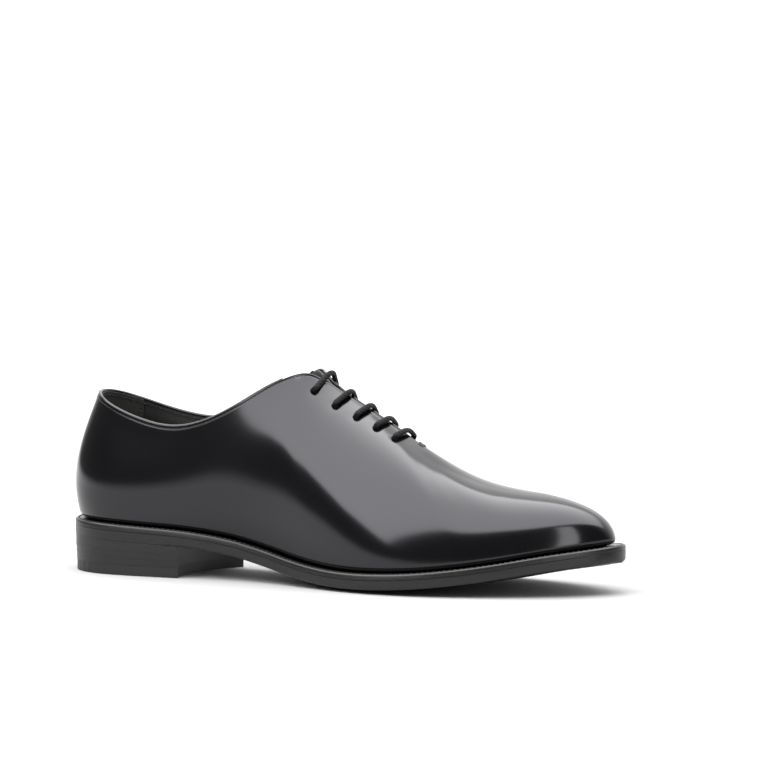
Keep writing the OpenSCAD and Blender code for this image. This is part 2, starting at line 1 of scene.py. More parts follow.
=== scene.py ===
"""Looks of a black leather oxford shoe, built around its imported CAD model.

The CAD draws the shoe's layers as coarse grids of points on smooth curves. This script follows
the same curves, in millimetres and in the CAD's own coordinates, on much finer grids, and
adds the stitches, rounded edges, seams and materials.

A place on the upper is a station t and a height v. Station 0 is the back seam, HALF the tip of
the toe, and t and LOOP - t face each other on the outer and the inner side. Height 0 is the foot
at the welt and 1 the top edge.
"""
import math

import bmesh
import bpy
import numpy as np
from mathutils import Matrix, Vector


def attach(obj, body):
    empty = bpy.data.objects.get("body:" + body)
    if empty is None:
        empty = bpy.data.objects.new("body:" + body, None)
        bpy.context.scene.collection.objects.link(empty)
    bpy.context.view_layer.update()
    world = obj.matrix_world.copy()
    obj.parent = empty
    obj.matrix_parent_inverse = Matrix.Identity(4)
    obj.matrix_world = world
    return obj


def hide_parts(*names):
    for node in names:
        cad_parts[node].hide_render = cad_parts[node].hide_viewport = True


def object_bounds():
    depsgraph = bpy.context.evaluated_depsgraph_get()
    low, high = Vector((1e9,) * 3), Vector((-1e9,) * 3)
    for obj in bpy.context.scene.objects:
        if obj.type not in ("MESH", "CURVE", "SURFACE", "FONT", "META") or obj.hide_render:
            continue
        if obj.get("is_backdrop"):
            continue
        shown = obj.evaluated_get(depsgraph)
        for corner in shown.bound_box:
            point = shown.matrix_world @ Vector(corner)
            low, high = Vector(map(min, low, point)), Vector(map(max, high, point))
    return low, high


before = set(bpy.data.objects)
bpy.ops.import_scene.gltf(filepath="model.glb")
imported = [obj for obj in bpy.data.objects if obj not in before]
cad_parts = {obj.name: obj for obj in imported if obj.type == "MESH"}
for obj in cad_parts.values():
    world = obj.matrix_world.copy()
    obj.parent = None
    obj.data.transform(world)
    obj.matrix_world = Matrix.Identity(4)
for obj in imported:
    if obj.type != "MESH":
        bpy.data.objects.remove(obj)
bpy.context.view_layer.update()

MM = 0.001

# ---- Control points of the shoe's curves at each station, as in the CAD ----
HALF = 14
LOOP = 2 * HALF


def mirrored(values):
    return np.array(values + values[-2:0:-1], float)


def around(back, outer, tip, inner):
    return np.array([back] + outer + [tip] + inner[::-1], float)


SOLE = around(
    (-1.2, 0),
    [(4, -20), (22, -34), (48, -35), (74, -33.5), (102, -30.5), (130, -35.5), (157, -46),
     (184, -54), (211, -54.5), (237, -49), (262, -38.5), (284, -25.5), (301, -11)],
    (310.5, 6),
    [(4, 20), (22, 34), (48, 34), (74, 30.5), (102, 24), (130, 24.5), (157, 34.5),
     (184, 46.5), (211, 51.5), (237, 49.5), (262, 43), (284, 34), (301, 22.5)])
# The top edge rises from the back seam to the facings and runs along the vamp's ridge to the toe
RIDGE = [(163, 0, 90.5), (185, 0, 78.2), (206, 0, 66), (228, 1, 55.5), (249, 2.5, 51.5)]
TOP = around(
    (10, 0, 92.7),
    [(15.2, -13.5, 91.3), (27.5, -23.5, 87), (46, -28, 81.3), (70, -29.5, 76.5),
     (96, -29, 86), (118, -26, 101), (134, -14, 110), (143, 0, 102)] + RIDGE,
    (264, 4, 50),
    [(15.2, 13.5, 90.6), (27.5, 23.5, 85.2), (45, 28, 79.4), (70, 29.5, 76.2),
     (95, 29, 86), (116.5, 25.5, 101), (131.5, 13.5, 110), (142.5, 0, 102.3)] + RIDGE)
# Reach and angle of the upper's curve at its foot and at its top, in millimetres and degrees
FOOT_PULL = mirrored([25, 24.5, 23, 21, 20, 22, 24, 28, 28, 26, 24, 22, 20, 17.5, 14])
TOP_PULL = mirrored([28, 27, 24, 20, 20, 22, 28, 30, 32, 32, 30, 28, 27, 26.5, 26])
FOOT_LEAN = mirrored([17, 16.5, 14, 11, 14, 22, 18, 10, 6, 5, 4, 4, 4, 4, 3])
TOP_DROP = around(68, [69, 75, 80, 82, 82, 78, 45, 24, 18, 12, 2, 0, 0], 0,
                  [69, 75, 80, 82, 82, 78, 50, 36, 32, 30, 24, 14, 6])
# Width of bare welt outside the upper
MARGIN = mirrored([3, 3, 3, 3, 3, 3.5, 4, 4.5, 5, 5, 5, 5, 5, 5, 5])
# Height of the welt's top at places along the shoe
DECK = np.array([(-20, 27.2), (0, 26.7), (25, 26.2), (50, 25.4), (75, 24.2), (100, 21.2),
                 (120, 17.3), (140, 13.2), (160, 10.7), (180, 10), (204, 10.8), (225, 12.6),
                 (250, 16), (280, 21.4), (308, 25.6), (330, 29)], float)

# ---- Thicknesses and places ----
# Between neighbouring layers
GAP = 0.05
LEATHER = 1.3
LINING = 0.9
GRIP = 0.7
STIFFENER = 0.4
COUNTER_EXTRA = 0.75
PUFF_EXTRA = 0.35
# How much thinner each layer is at the folded edge of the collar, and that edge's height
LEATHER_SKIVE, STIFFENER_SKIVE, LINING_SKIVE = 0.5, 0.35, 0.3
EDGE_HEIGHT = 1.1
# Width of the leather turned in under the insole, and radius of its bend above the welt
TURN_IN, CREASE = 7, 3.7
SLIT = 3
# Station from which the two sides are one along the ridge, and reach of the ridge's rounding
THROAT, RIDGE_REACH = 10.5, 14.0
# Station of the seam between vamp lining and quarter lining
SEAM = 8.25
WELT = 3
WELT_WIDTH = 11
OUTSOLE = 5
SEAT = WELT + OUTSOLE
CAMBER = 1.95
TOP_PIECE = 5.5
LIFT = 3.5
LIFT_STEP = 0.2
# Circle of the heel's hollow front face
BREAST, BREAST_RADIUS = (134.2, -8.2), 66.6
INSOLE_TOP = LEATHER + 3 * GAP + 2.5
SOCK = 1.0
PAD = 1.5
# The lace's radius in the CAD and its pressed oval, its height over the facings, the depth of
# its hidden runs, and the radius of its turn at an eyelet
LACE_RADIUS = 1.35
LACE_WIDE, LACE_THICK = 1.55, 1.25
LACE_RISE = 0.8
RUN_DEPTH = 5.05
TURN = 1.7
# Holes in the outer leather and in the layers that hold the eyelets, and the eyelets' places
HOLE = LACE_RADIUS + 0.45
EYELET_HOLE = LACE_RADIUS + 1.25
EYELETS = [(7.72, 0.9), (8.38, 0.87), (8.92, 0.87), (9.4, 0.87), (9.85, 0.87)]
BAR_RISE = [2.1, 0.3, 0.1, 0, 0]
TONGUE = 1.5
TONGUE_LINING = 0.95

# Stations over which the slit opens and ends, and over which the vamp's ridge closes
SLIT_START, SLIT_END = (7, 8), (9.95, 10.35)
CLOSED, RIDGE_SLOPE = (10.3, 10.9), (9.5, 10.8)
# Stations over which the collar's folded edge and skived layers give way to the facings, with a
# deeper groove and a rounded rim of leather
EDGE_FADE, SKIVE_FADE, GROOVE_FADE, RIM_FADE = (6.5, 7.5), (6.2, 7.2), (6.3, 6.7), (6.4, 7.1)
# Stations and heights at which counter and toe puff thin out
COUNTER_FADE, COUNTER_TOP, PUFF_FADE = (3, 4.2), (0.45, 0.65), (11.2, 12.2)

# Pitch of each row, and length and radius of its stitches
COLLAR_STITCH = (2.2, 1.5, 0.2)
TAB_STITCH = (1.8, 1.3, 0.2)
LINING_STITCH = (2.4, 1.7, 0.22)
LINING_EDGE_STITCH = (2.1, 1.7, 0.22)
TONGUE_STITCH = (2.6, 1.9, 0.24)
WELT_STITCH = (2.9, 2.3, 0.3)
SOCK_STITCH = (2.6, 1.9, 0.22)
TACK_RADIUS = 0.22
STITCH_ARCH = 0.12

# Stations at which the grids have their columns, the same on both sides of the shoe
PER_STATION = 16
COLUMNS = np.arange(LOOP * PER_STATION) / PER_STATION
ROWS = 44


# ---- Curves ----
def ease(a, b, x):
    s = np.clip((np.asarray(x, float) - a) / (b - a), 0, 1)
    return s * s * (3 - 2 * s)


def norm(v):
    return np.linalg.norm(v, axis=-1)


def unit(v):
    return v / np.maximum(norm(v)[..., None], 1e-12)


def spline(points, t):
    """Uniform cubic B-spline on a closed list of values or points."""
    t = np.asarray(t, float)
    i = np.floor(t).astype(int)
    f = t - i
    weights = [(1 - f) ** 3, 3 * f ** 3 - 6 * f ** 2 + 4, -3 * f ** 3 + 3 * f ** 2 + 3 * f + 1,
               f ** 3]
    total = 0
    for step, weight in enumerate(weights):
        value = points[(i + step - 1) % len(points)]
        total = total + (weight[..., None] if points.ndim > 1 else weight) * value / 6
    return total


def hermite(f, a, b, p, q):
    """Cubic from a to b that leaves with slope p and arrives with slope q."""
    return ((2 * f ** 3 - 3 * f ** 2 + 1) * a + (f ** 3 - 2 * f ** 2 + f) * p
            + (3 * f ** 2 - 2 * f ** 3) * b + (f ** 3 - f ** 2) * q)


def angles(count):
    return np.arange(count) / count * 2 * np.pi


def deck(x):
    """Height of the welt's top along the shoe."""
    x = np.asarray(x, float)
    xs, ys = DECK.T
    slope = (ys[2:] - ys[:-2]) / (xs[2:] - xs[:-2])
    i = np.clip(np.searchsorted(xs, x, side="right") - 1, 1, len(xs) - 3)
    h = xs[i + 1] - xs[i]
    return hermite((x - xs[i]) / h, ys[i], ys[i + 1], h * slope[i - 1], h * slope[i])


def station(t):
    """Station counted from the back seam on either side."""
    w = np.mod(t, LOOP)
    return np.minimum(w, LOOP - w)


def side(t):
    """-1 on the outer side and 1 on the inner."""
    return np.where(np.mod(t, LOOP) <= HALF, -1.0, 1.0)


def along(points, t):
    return spline(points, t + 0.001) - spline(points, t - 0.001)


def side_out(t):
    """Level direction away from the sole's outline."""
    d = unit(along(SOLE, t))
    return np.stack([d[..., 1], -d[..., 0]], -1)


def inset(t, by):
    """Point of the sole's outline at an inset from its edge."""
    return spline(SOLE, t) - side_out(t) * np.asarray(by, float)[..., None]


def on_deck(p, lift):
    """Points in plan, set at a height above the welt's top."""
    return np.concatenate([p, (deck(p[..., 0]) + lift)[..., None]], -1)


def top_point(t):
    """Point of the upper's top edge, set apart at the slit and below the folded edge."""
    u = station(t)
    half = SLIT / 2 * ease(*SLIT_START, u) * (1 - ease(*SLIT_END, u))
    p = spline(TOP, t).copy()
    p[..., 1] += side(t) * half
    p[..., 2] -= EDGE_HEIGHT * (1 - ease(*EDGE_FADE, u))
    return p


# Slope of the upper at the tip of the toe, where its top edge runs straight across
TIP_SLOPE = -0.12


def rib(t):
    """The four control points of the upper's curve at each station."""
    foot = on_deck(inset(t, spline(MARGIN, t)), 0)
    top = top_point(t)
    n = side_out(t)
    lean = np.radians(spline(FOOT_LEAN, t))
    drop = np.radians(spline(TOP_DROP, t))
    d = along(TOP, t)
    tip = np.abs(d[..., 0]) < 1e-7
    slope = np.where(tip, TIP_SLOPE, d[..., 2] / np.where(tip, 1, d[..., 0]))
    slope = slope * ease(*RIDGE_SLOPE, station(t))
    up = np.stack([n[..., 0] * np.sin(lean), n[..., 1] * np.sin(lean), np.cos(lean)], -1)
    out = np.stack([n[..., 0] * np.cos(drop), n[..., 1] * np.cos(drop),
                    slope * n[..., 0] * np.cos(drop) - np.sin(drop)], -1)
    return (foot, foot + spline(FOOT_PULL, t)[..., None] * up,
            top + spline(TOP_PULL, t)[..., None] * out, top)


def surface(t, v):
    """Point of the upper's outside at station t and height v, from 0 at the foot to 1."""
    t, v = np.broadcast_arrays(np.asarray(t, float), np.asarray(v, float))
    a, b, c, d = rib(t)
    v = v[..., None]
    p = (1 - v) ** 3 * a + 3 * (1 - v) ** 2 * v * b + 3 * (1 - v) * v ** 2 * c + v ** 3 * d
    p[..., 2] += ridge_round(t, v[..., 0])
    return p


def ridge_round(t, v):
    """Lift beside the closed ridge that lets the two sides of the vamp meet smoothly."""
    steep = sum(np.tan(np.radians(spline(TOP_DROP, k))) for k in (t, LOOP - t)) / 2
    away = 3 * (1 - v) * spline(TOP_PULL, t)
    return ease(*CLOSED, station(t)) * steep * away * np.clip(1 - away / RIDGE_REACH, 0, 1) ** 2


def outward(t, v):
    """Direction out of the upper, taken just beside the ridge where the sides meet."""
    t, v = np.broadcast_arrays(np.asarray(t, float), np.asarray(v, float))
    v = np.minimum(v, np.where(station(t) > THROAT - 0.01, 0.985, 1.0))
    forward = surface(t + 0.01, v) - surface(t - 0.01, v)
    up = surface(t, v + 0.005) - surface(t, v - 0.005)
    return unit(np.cross(forward, up))


def out_of_ridge(t):
    return unit(outward(t, 1.0) + outward(LOOP - t, 1.0))


EYELET_SPOTS = [[(surface(t, v), outward(t, v)) for t in (u, LOOP - u)] for u, v in EYELETS]


# ---- Mesh tools ----
# The shared frame's origin, under the middle of the sole, in the curves' own coordinates
edge_line = spline(SOLE, np.arange(4 * LOOP) / 4)
ORIGIN = np.append((edge_line.min(0) + edge_line.max(0)) / 2, 0)
# Angle in degrees from which the edge between two faces is shaded sharp
SHARP = 40


def shade_smooth(mesh, sharp):
    for polygon in mesh.polygons:
        polygon.use_smooth = True
    mesh.set_sharp_from_angle(angle=math.radians(sharp))


def show(obj):
    bpy.context.scene.collection.objects.link(obj)


def solid(name, points, faces, sharp=SHARP):
    """Mesh object from points in millimetres, without the points that no face uses."""
    points = np.asarray(points, float).reshape(-1, 3)
    used = np.unique(np.concatenate([np.asarray(f) for f in faces]))
    place = np.full(len(points), -1)
    place[used] = np.arange(len(used))
    mesh = bpy.data.meshes.new(name)
    mesh.from_pydata(((points[used] - ORIGIN) * MM).tolist(), [],
                     [[int(place[i]) for i in f] for f in faces])
    bm = bmesh.new()
    bm.from_mesh(mesh)
    bmesh.ops.recalc_face_normals(bm, faces=bm.faces)
    bm.to_mesh(mesh)
    bm.free()
    shade_smooth(mesh, sharp)
    obj = bpy.data.objects.new(name, mesh)
    show(obj)
    return obj


def piece(name, points, faces, material, slot, replaces=(), body="shoe", sharp=SHARP):
    """A solid of the shoe, with its material and body. Its slot argument is not used."""
    obj = solid(name, points, faces, sharp)
    obj.data.materials.append(material)
    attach(obj, body)
    if replaces:
        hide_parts(*replaces)
    return obj


def skin(outer, inner, rim, loop, sewn):
    """Closed solid between two grids of points, columns by rows. rim is a grid of points that
    lead from the top of outer to the top of inner, or None. sewn says in which columns the two
    sides of the shoe share their top points; a column's partner is at the mirrored place."""
    n, m = outer.shape[:2]
    r = 0 if rim is None else rim.shape[1]
    points = [outer.reshape(-1, 3), inner.reshape(-1, 3)] + ([rim.reshape(-1, 3)] if r else [])
    partner = (n - np.arange(n)) % n if loop else n - 1 - np.arange(n)

    def column(k):
        return k % n

    def shared(k):
        k = column(k)
        return min(k, int(partner[k])) if sewn[k] else k

    def vid(sheet, k, j):
        return sheet * n * m + (shared(k) if j == m - 1 else column(k)) * m + j

    def rim_ids(k):
        middle = [2 * n * m + shared(k) * r + i for i in range(r)]
        return [vid(0, k, m - 1)] + middle + [vid(1, k, m - 1)]

    faces = []
    last = n if loop else n - 1
    for k in range(last):
        for j in range(m - 1):
            faces.append((vid(0, k, j), vid(0, k, j + 1), vid(0, k + 1, j + 1), vid(0, k + 1, j)))
            faces.append((vid(1, k, j), vid(1, k + 1, j), vid(1, k + 1, j + 1), vid(1, k, j + 1)))
        faces.append((vid(0, k, 0), vid(0, k + 1, 0), vid(1, k + 1, 0), vid(1, k, 0)))
        if not (sewn[column(k)] and sewn[column(k + 1)]):
            here, there = rim_ids(k), rim_ids(k + 1)
            faces += [(here[i], here[i + 1], there[i + 1], there[i]) for i in range(r + 1)]
    if not loop:
        for k in (0, n - 1):
            faces += [(vid(0, k, j), vid(1, k, j), vid(1, k, j + 1), vid(0, k, j + 1))
                      for j in range(m - 1)]
            if r:
                faces.append(tuple(rim_ids(k)))
    clean = []
    for f in faces:
        f = [v for i, v in enumerate(f) if v != f[i - 1]]
        if len(set(f)) > 2:
            clean.append(tuple(f))
    return np.concatenate(points), clean


def swept(rings, loop=False):
    """Closed solid through rings of points."""
    n, m = rings.shape[:2]
    faces = []
    for i in range(n if loop else n - 1):
        a, b = i * m, (i + 1) % n * m
        faces += [(a + j, a + (j + 1) % m, b + (j + 1) % m, b + j) for j in range(m)]
    if not loop:
        faces += [tuple(range(m))[::-1], tuple(range((n - 1) * m, n * m))]
    return rings.reshape(-1, 3), faces


# How far the pins that cut the lace's holes reach into the shoe and out of it
PIN_IN, PIN_OUT = 6, 3


def cut_round_holes(obj, radius):
    """Cuts the lace's ten round holes through a piece."""
    pins = []
    turn = angles(32)
    for spots in EYELET_SPOTS:
        for p, n in spots:
            a = unit(np.cross(n, [0, 0, 1.0]))
            b = np.cross(n, a)
            circle = radius * (np.cos(turn)[:, None] * a + np.sin(turn)[:, None] * b)
            pins.append(swept(np.stack([p + circle - PIN_IN * n, p + circle + PIN_OUT * n])))
    cutter = solid("holes", *joined(*pins))
    modifier = obj.modifiers.new("holes", "BOOLEAN")
    modifier.object = cutter
    modifier.solver = "MANIFOLD"
    graph = bpy.context.evaluated_depsgraph_get()
    cut = bpy.data.meshes.new_from_object(obj.evaluated_get(graph))
    obj.modifiers.clear()
    obj.data = cut
    bpy.data.objects.remove(cutter)
    shade_smooth(cut, SHARP)


# Profile of a stitch: places along it as shares of its length, and its radius there as a share
STITCH_PLACES = np.array([-0.5, -0.42, -0.2, 0.0, 0.2, 0.42, 0.5])
STITCH_WIDTHS = np.array([0.35, 0.8, 1.0, 1.0, 1.0, 0.8, 0.35])


def capsules(centres, forwards, ups, length, radius):
    """Many small stitches, each a rounded bar of thread, a little arched."""
    turn = angles(8)
    stitches = []
    for c, d, u in zip(centres, forwards, ups):
        d = unit(d)
        u = unit(u - (u @ d) * d)
        s = np.cross(d, u)
        circle = np.cos(turn)[:, None] * u + np.sin(turn)[:, None] * s
        stitches.append(swept(np.array([
            c + d * length * x + u * STITCH_ARCH * (1 - (2 * x) ** 2) + circle * radius * w
            for x, w in zip(STITCH_PLACES, STITCH_WIDTHS)])))
    return joined(*stitches)


def reach_of(path):
    """Length of a path up to each of its points."""
    return np.append(0, np.cumsum(norm(np.diff(path, axis=0))))


def stitch_row(path, ups, pitch, length, radius):
    """Stitches at an even pitch along a path."""
    reach = reach_of(path)
    count = int(reach[-1] // pitch)
    at = (np.arange(count) + 0.5) * reach[-1] / count

    def place(values, s):
        return np.stack([np.interp(s, reach, values[:, i]) for i in range(3)], -1)

    return capsules(place(path, at), place(path, at + 0.2) - place(path, at - 0.2),
                    place(ups, at), length, radius)


def tube(path, n, wide, thick):
    """Closed tube along a path, with one radius along n and one across it."""
    s = np.cross(unit(np.gradient(path, axis=0)), n)
    return swept(np.stack([path + wide * math.cos(a) * s + thick * math.sin(a) * n
                           for a in angles(8)], 1))


def joined(*parts):
    """One mesh of several."""
    points, faces, start = [], [], 0
    for p, f in parts:
        points.append(p)
        faces += [tuple(start + i for i in g) for g in f]
        start += len(p)
    return np.concatenate(points), faces


# ---- Materials ----
def fill(node, inputs):
    """Gives each input a constant or a link from another node's output."""
    for key, value in inputs.items():
        if isinstance(value, bpy.types.NodeSocket):
            node.id_data.links.new(value, node.inputs[key])
        else:
            node.inputs[key].default_value = value


def add(tree, kind, output, inputs, **settings):
    """Adds a node to a tree and returns one of its outputs."""
    node = tree.nodes.new("ShaderNode" + kind)
    for key, value in settings.items():
        setattr(node, key, value)
    fill(node, inputs)
    return node.outputs[output]


def new_material(name):
    material = bpy.data.materials.new(name)
    material.use_nodes = True
    return material, material.node_tree, material.node_tree.nodes["Principled BSDF"]


def shaded(colour, share=1.0):
    return (*[c * share for c in colour], 1)


# Mix of two colours by a share: the own tones of leather and grains, and on thread and lace the
# painted shade and highlight of their relief.
def tones_and_painted_shade(tree, share, first, second):
    return add(tree, "Mix", "Result", {"Factor": share, "A": first, "B": second}, data_type="RGBA")


def raised(tree, height, strength, depth):
    return add(tree, "Bump", "Normal", {"Strength": strength, "Distance": depth, "Height": height})


def spread(tree, share, low, high):
    return add(tree, "MapRange", "Result", {"Value": share, "To Min": low, "To Max": high})


def leather(name, colour, roughness, bump=0.1, pores=900.0, streaks=None, tint=(1.0, 1.0, 1.0)):
    """Leather with fine pores, a slow change of tone and, on cut edges, level streaks."""
    material, tree, shader = new_material(name)
    place = add(tree, "TexCoord", "Object", {})
    if streaks:
        place = add(tree, "Mapping", "Vector", {"Scale": streaks, "Vector": place})
    tone = add(tree, "TexNoise", "Fac", {"Scale": 38.0, "Detail": 5.0, "Vector": place})
    cells = add(tree, "TexVoronoi", "Distance", {"Scale": pores, "Vector": place})
    fine = add(tree, "TexNoise", "Fac", {"Scale": pores * 1.6, "Detail": 6.0, "Vector": place})
    grain = add(tree, "Math", "Value", {0: cells, 1: 0.35, 2: fine}, operation="MULTIPLY_ADD")
    fill(shader, {
        "Base Color": tones_and_painted_shade(tree, tone, shaded(colour, 0.75), shaded(colour, 1.25)),
        "Roughness": spread(tree, tone, roughness * 0.85, roughness * 1.15),
        "Normal": raised(tree, grain, bump, 0.0002),
        "Specular Tint": (*tint, 1)})
    return material


def woven(name, colour, roughness, scale):
    """Thread or tape: two crossing sets of fine ribs."""
    material, tree, shader = new_material(name)
    place = add(tree, "TexCoord", "Object", {})
    ribs = []
    for spin in (math.radians(40), math.radians(-40)):
        turned = add(tree, "Mapping", "Vector", {"Rotation": (spin, spin, spin), "Vector": place})
        ribs.append(add(tree, "TexWave", "Fac", {
            "Scale": scale, "Distortion": 0.4, "Vector": turned}))
    cross = add(tree, "Math", "Value", {0: ribs[0], 1: ribs[1]}, operation="MULTIPLY")
    # The colour is lighter where the ribs rise and darker between them: painted highlight and
    # painted shade that follow the ribs' bumps.
    fill(shader, {
        "Base Color": tones_and_painted_shade(tree, cross, shaded(colour, 0.6), shaded(colour, 1.3)),
        "Roughness": roughness,
        "Normal": raised(tree, cross, 0.5, 0.0002)})
    return material


def braided(name, colour, roughness):
    """Round braided lace. Its UV runs in millimetres along the lace and in turns around it."""
    material, tree, shader = new_material(name)
    place = add(tree, "UVMap", "UV", {}, uv_map="along")
    strands = []
    for slant in (1, -1):
        turned = add(tree, "VectorMath", "Value", {0: place, 1: (0.42, slant * 3.0, 0)},
                     operation="DOT_PRODUCT")
        strands.append(add(tree, "Math", "Value", {0: turned, 1: 0.5}, operation="PINGPONG"))
    cross = add(tree, "Math", "Value", {0: strands[0], 1: strands[1]}, operation="MAXIMUM")
    # The colour is lighter on the strands' crowns and darker in the gaps between them: painted
    # highlight and painted shade that follow the braid's bumps.
    fill(shader, {
        "Base Color": tones_and_painted_shade(tree, cross, shaded(colour, 0.5), shaded(colour, 1.4)),
        "Roughness": roughness,
        "Specular IOR Level": 0.14,
        "Normal": raised(tree, cross, 1.0, 0.0006)})
    return material


def metal(name, colour, roughness, metallic=1.0):
    """Metal with a fine brushed unevenness."""
    material, tree, shader = new_material(name)
    place = add(tree, "TexCoord", "Object", {})
    noise = add(tree, "TexNoise", "Fac", {"Scale": 900.0, "Vector": place})
    fill(shader, {
        "Base Color": shaded(colour),
        "Metallic": metallic,
        "Roughness": spread(tree, noise, roughness * 0.7, roughness * 1.4)})
    return material


def granular(name, colour, dark, roughness, scale, bump=0.4):
    """Cork, foam, rubber and board: grains of two tones."""
    material, tree, shader = new_material(name)
    place = add(tree, "TexCoord", "Object", {})
    grains = add(tree, "TexVoronoi", "Distance", {"Scale": scale, "Vector": place})
    fill(shader, {
        "Base Color": tones_and_painted_shade(tree, grains, shaded(colour), shaded(dark)),
        "Roughness": roughness,
        "Normal": raised(tree, grains, bump, 0.0003)})
    return material


polished = leather("polished_leather", (0.001, 0.001, 0.0013), 0.15, bump=0.02,
                   tint=(0.96, 0.94, 1.0))
edge_leather = leather("edge_leather", (0.0015, 0.0015, 0.0018), 0.2, bump=0.12)
lining_leather = leather("lining_leather", (0.005, 0.0047, 0.0043), 0.55, bump=0.3)
grip_leather = leather("grip_leather", (0.007, 0.0066, 0.006), 0.8, bump=0.5, pores=1500)
sock_leather = leather("sock_leather", (0.007, 0.0066, 0.006), 0.55, bump=0.3)
welt_leather = leather("welt_leather", (0.003, 0.003, 0.0028), 0.33, bump=0.25, streaks=(1, 1, 6))
sole_leather = leather("sole_leather", (0.003, 0.0029, 0.0027), 0.36, bump=0.3, streaks=(1, 1, 6))
heel_leather = leather("heel_leather", (0.003, 0.0029, 0.0027), 0.38, bump=0.4, streaks=(1, 1, 12))
board = granular("stiffener_board", (0.42, 0.31, 0.2), (0.3, 0.21, 0.13), 0.8, 1400)
filler_board = granular("filler_board", (0.45, 0.34, 0.23), (0.3, 0.2, 0.12), 0.8, 900)
cork = granular("cork", (0.5, 0.34, 0.2), (0.22, 0.13, 0.07), 0.85, 600)
foam = granular("pad_foam", (0.7, 0.6, 0.34), (0.5, 0.42, 0.22), 0.9, 1500)
rubber = granular("top_piece_rubber", (0.007, 0.007, 0.007), (0.004, 0.004, 0.004), 0.5, 1300, 0.2)
insole_leather = leather("insole_leather", (0.5, 0.36, 0.24), 0.7, bump=0.3)
stay_cloth = woven("stay_cloth", (0.45, 0.4, 0.32), 0.85, 900)
thread = woven("thread", (0.006, 0.006, 0.0066), 0.4, 1500)
lace_cord = braided("lace_cord", (0.0025, 0.0025, 0.003), 0.6)
aglet_plastic = granular("aglet_plastic", (0.03, 0.03, 0.03), (0.02, 0.02, 0.02), 0.35, 500, 0.05)
eyelet_metal = metal("eyelet_metal", (0.03, 0.03, 0.033), 0.35, 0.0)
shank_steel = metal("shank_steel", (0.45, 0.46, 0.48), 0.35)
nail_brass = metal("nail_brass", (0.6, 0.42, 0.14), 0.3)

# ---- Upper and its layers ----
# Heights of the grids' rows, closer together at the foot and below the top edge
TOP_ROWS = np.array([0.972, 0.976, 0.98, 0.984, 0.988, 0.992, 0.996, 1.0])
FOOT_ROWS = np.linspace(0, 0.06, 13)[:-1]
heights = np.concatenate([FOOT_ROWS, np.linspace(0.06, 0.965, ROWS), TOP_ROWS])


def skived(t, v):
    """Share by which every layer is thinned to reach the folded edge of the collar."""
    return (1 - ease(*SKIVE_FADE, station(t))) * ease(0.85, 1, v)


def leather_in(t, v):
    """Depth of the upper leather's inner face below the outside."""
    return LEATHER - LEATHER_SKIVE * skived(t, v)


def stiffener(t, v):
    """Thickness of the space between upper and lining."""
    u = station(t)
    counter = COUNTER_EXTRA * (1 - ease(*COUNTER_FADE, u)) * (1 - ease(*COUNTER_TOP, v))
    return (STIFFENER + GAP + counter + PUFF_EXTRA * ease(*PUFF_FADE, u)
            - STIFFENER_SKIVE * skived(t, v))


def lining_in(t, v):
    return leather_in(t, v) + 2 * GAP + stiffener(t, v)


def lining_out(t, v):
    return lining_in(t, v) + LINING - LINING_SKIVE * skived(t, v)


# Depth and reach of the leather's dip round a tight eyelet
DIMPLE, DIMPLE_REACH = 0.3, 2.8
# The groove that the collar's stitches press: its place below the edge, its half width, and its
# depth at the collar and how much deeper it is along the facings
GROOVE_AT, GROOVE_WIDTH, GROOVE, GROOVE_MORE = 1.35, 0.3, 0.09, 0.13


def layer(t, v, depth, lift):
    """Grid of points at a depth inside the upper. Its foot curls under, above the welt."""
    tt, vv = np.meshgrid(t, v, indexing="ij")
    depth = np.broadcast_to(depth(tt, vv), tt.shape)[..., None]
    base = surface(tt, vv)
    n = outward(tt, vv)
    shut = station(t) >= THROAT
    if vv[0, -1] == 1 and shut.any():
        n[shut, -1] = out_of_ridge(t)[shut]
    grid = base - n * depth
    for spots in EYELET_SPOTS:
        for p, _ in spots:
            near = norm(base - p)
            grid -= n * (DIMPLE * np.exp(-(near / DIMPLE_REACH) ** 2))[..., None]
    beside = norm(base - surface(tt, 1.0))
    u = station(tt)
    pressed = (GROOVE + GROOVE_MORE * ease(*GROOVE_FADE, u)) * (1 - ease(*SLIT_END, u))
    grid -= n * (pressed * np.exp(-((beside - GROOVE_AT) / GROOVE_WIDTH) ** 2))[..., None]
    height = np.clip(grid[..., 2] - deck(grid[..., 0]) - lift, 0, CREASE)
    tuck = CREASE - np.sqrt(CREASE ** 2 - (CREASE - height) ** 2)
    grid[..., :2] -= side_out(tt) * tuck[..., None]
    grid[..., 2] = np.maximum(grid[..., 2], deck(grid[..., 0]) + lift)
    return grid


def folded_under(t, grid, lift):
    """Adds the leather turned in under the insole as two more rows below a grid."""
    rows = [on_deck(inset(t, spline(MARGIN, t) + CREASE + by), lift) for by in (TURN_IN - 1, 1.5)]
    return np.concatenate([np.stack(rows, 1), grid], 1)


def shell(t, v, outer, inner, lifts, loop=False, bulge=None, turned=False):
    """Closed layer between two depths. bulge rounds its top, turned adds the turned-in foot."""
    a = layer(t, v, outer, lifts[0])
    b = layer(t, v, inner, lifts[1])
    rim = None
    if bulge is not None:
        across, rise = (a[:, -1] - b[:, -1]) / 2, unit(a[:, -1] - a[:, -2])
        middle = (a[:, -1] + b[:, -1]) / 2
        rim = np.stack([middle + np.cos(x) * across + (np.sin(x) * bulge)[:, None] * rise
                        for x in np.linspace(0, np.pi, 7)[1:-1]], 1)
    if turned:
        a, b = folded_under(t, a, lifts[0]), folded_under(t, b, lifts[1])
    sewn = (station(t) >= THROAT) & (v[-1] == 1)
    return skin(a, b, rim, loop, sewn)


def flat_depth(value):
    return lambda t, v: value + 0 * t


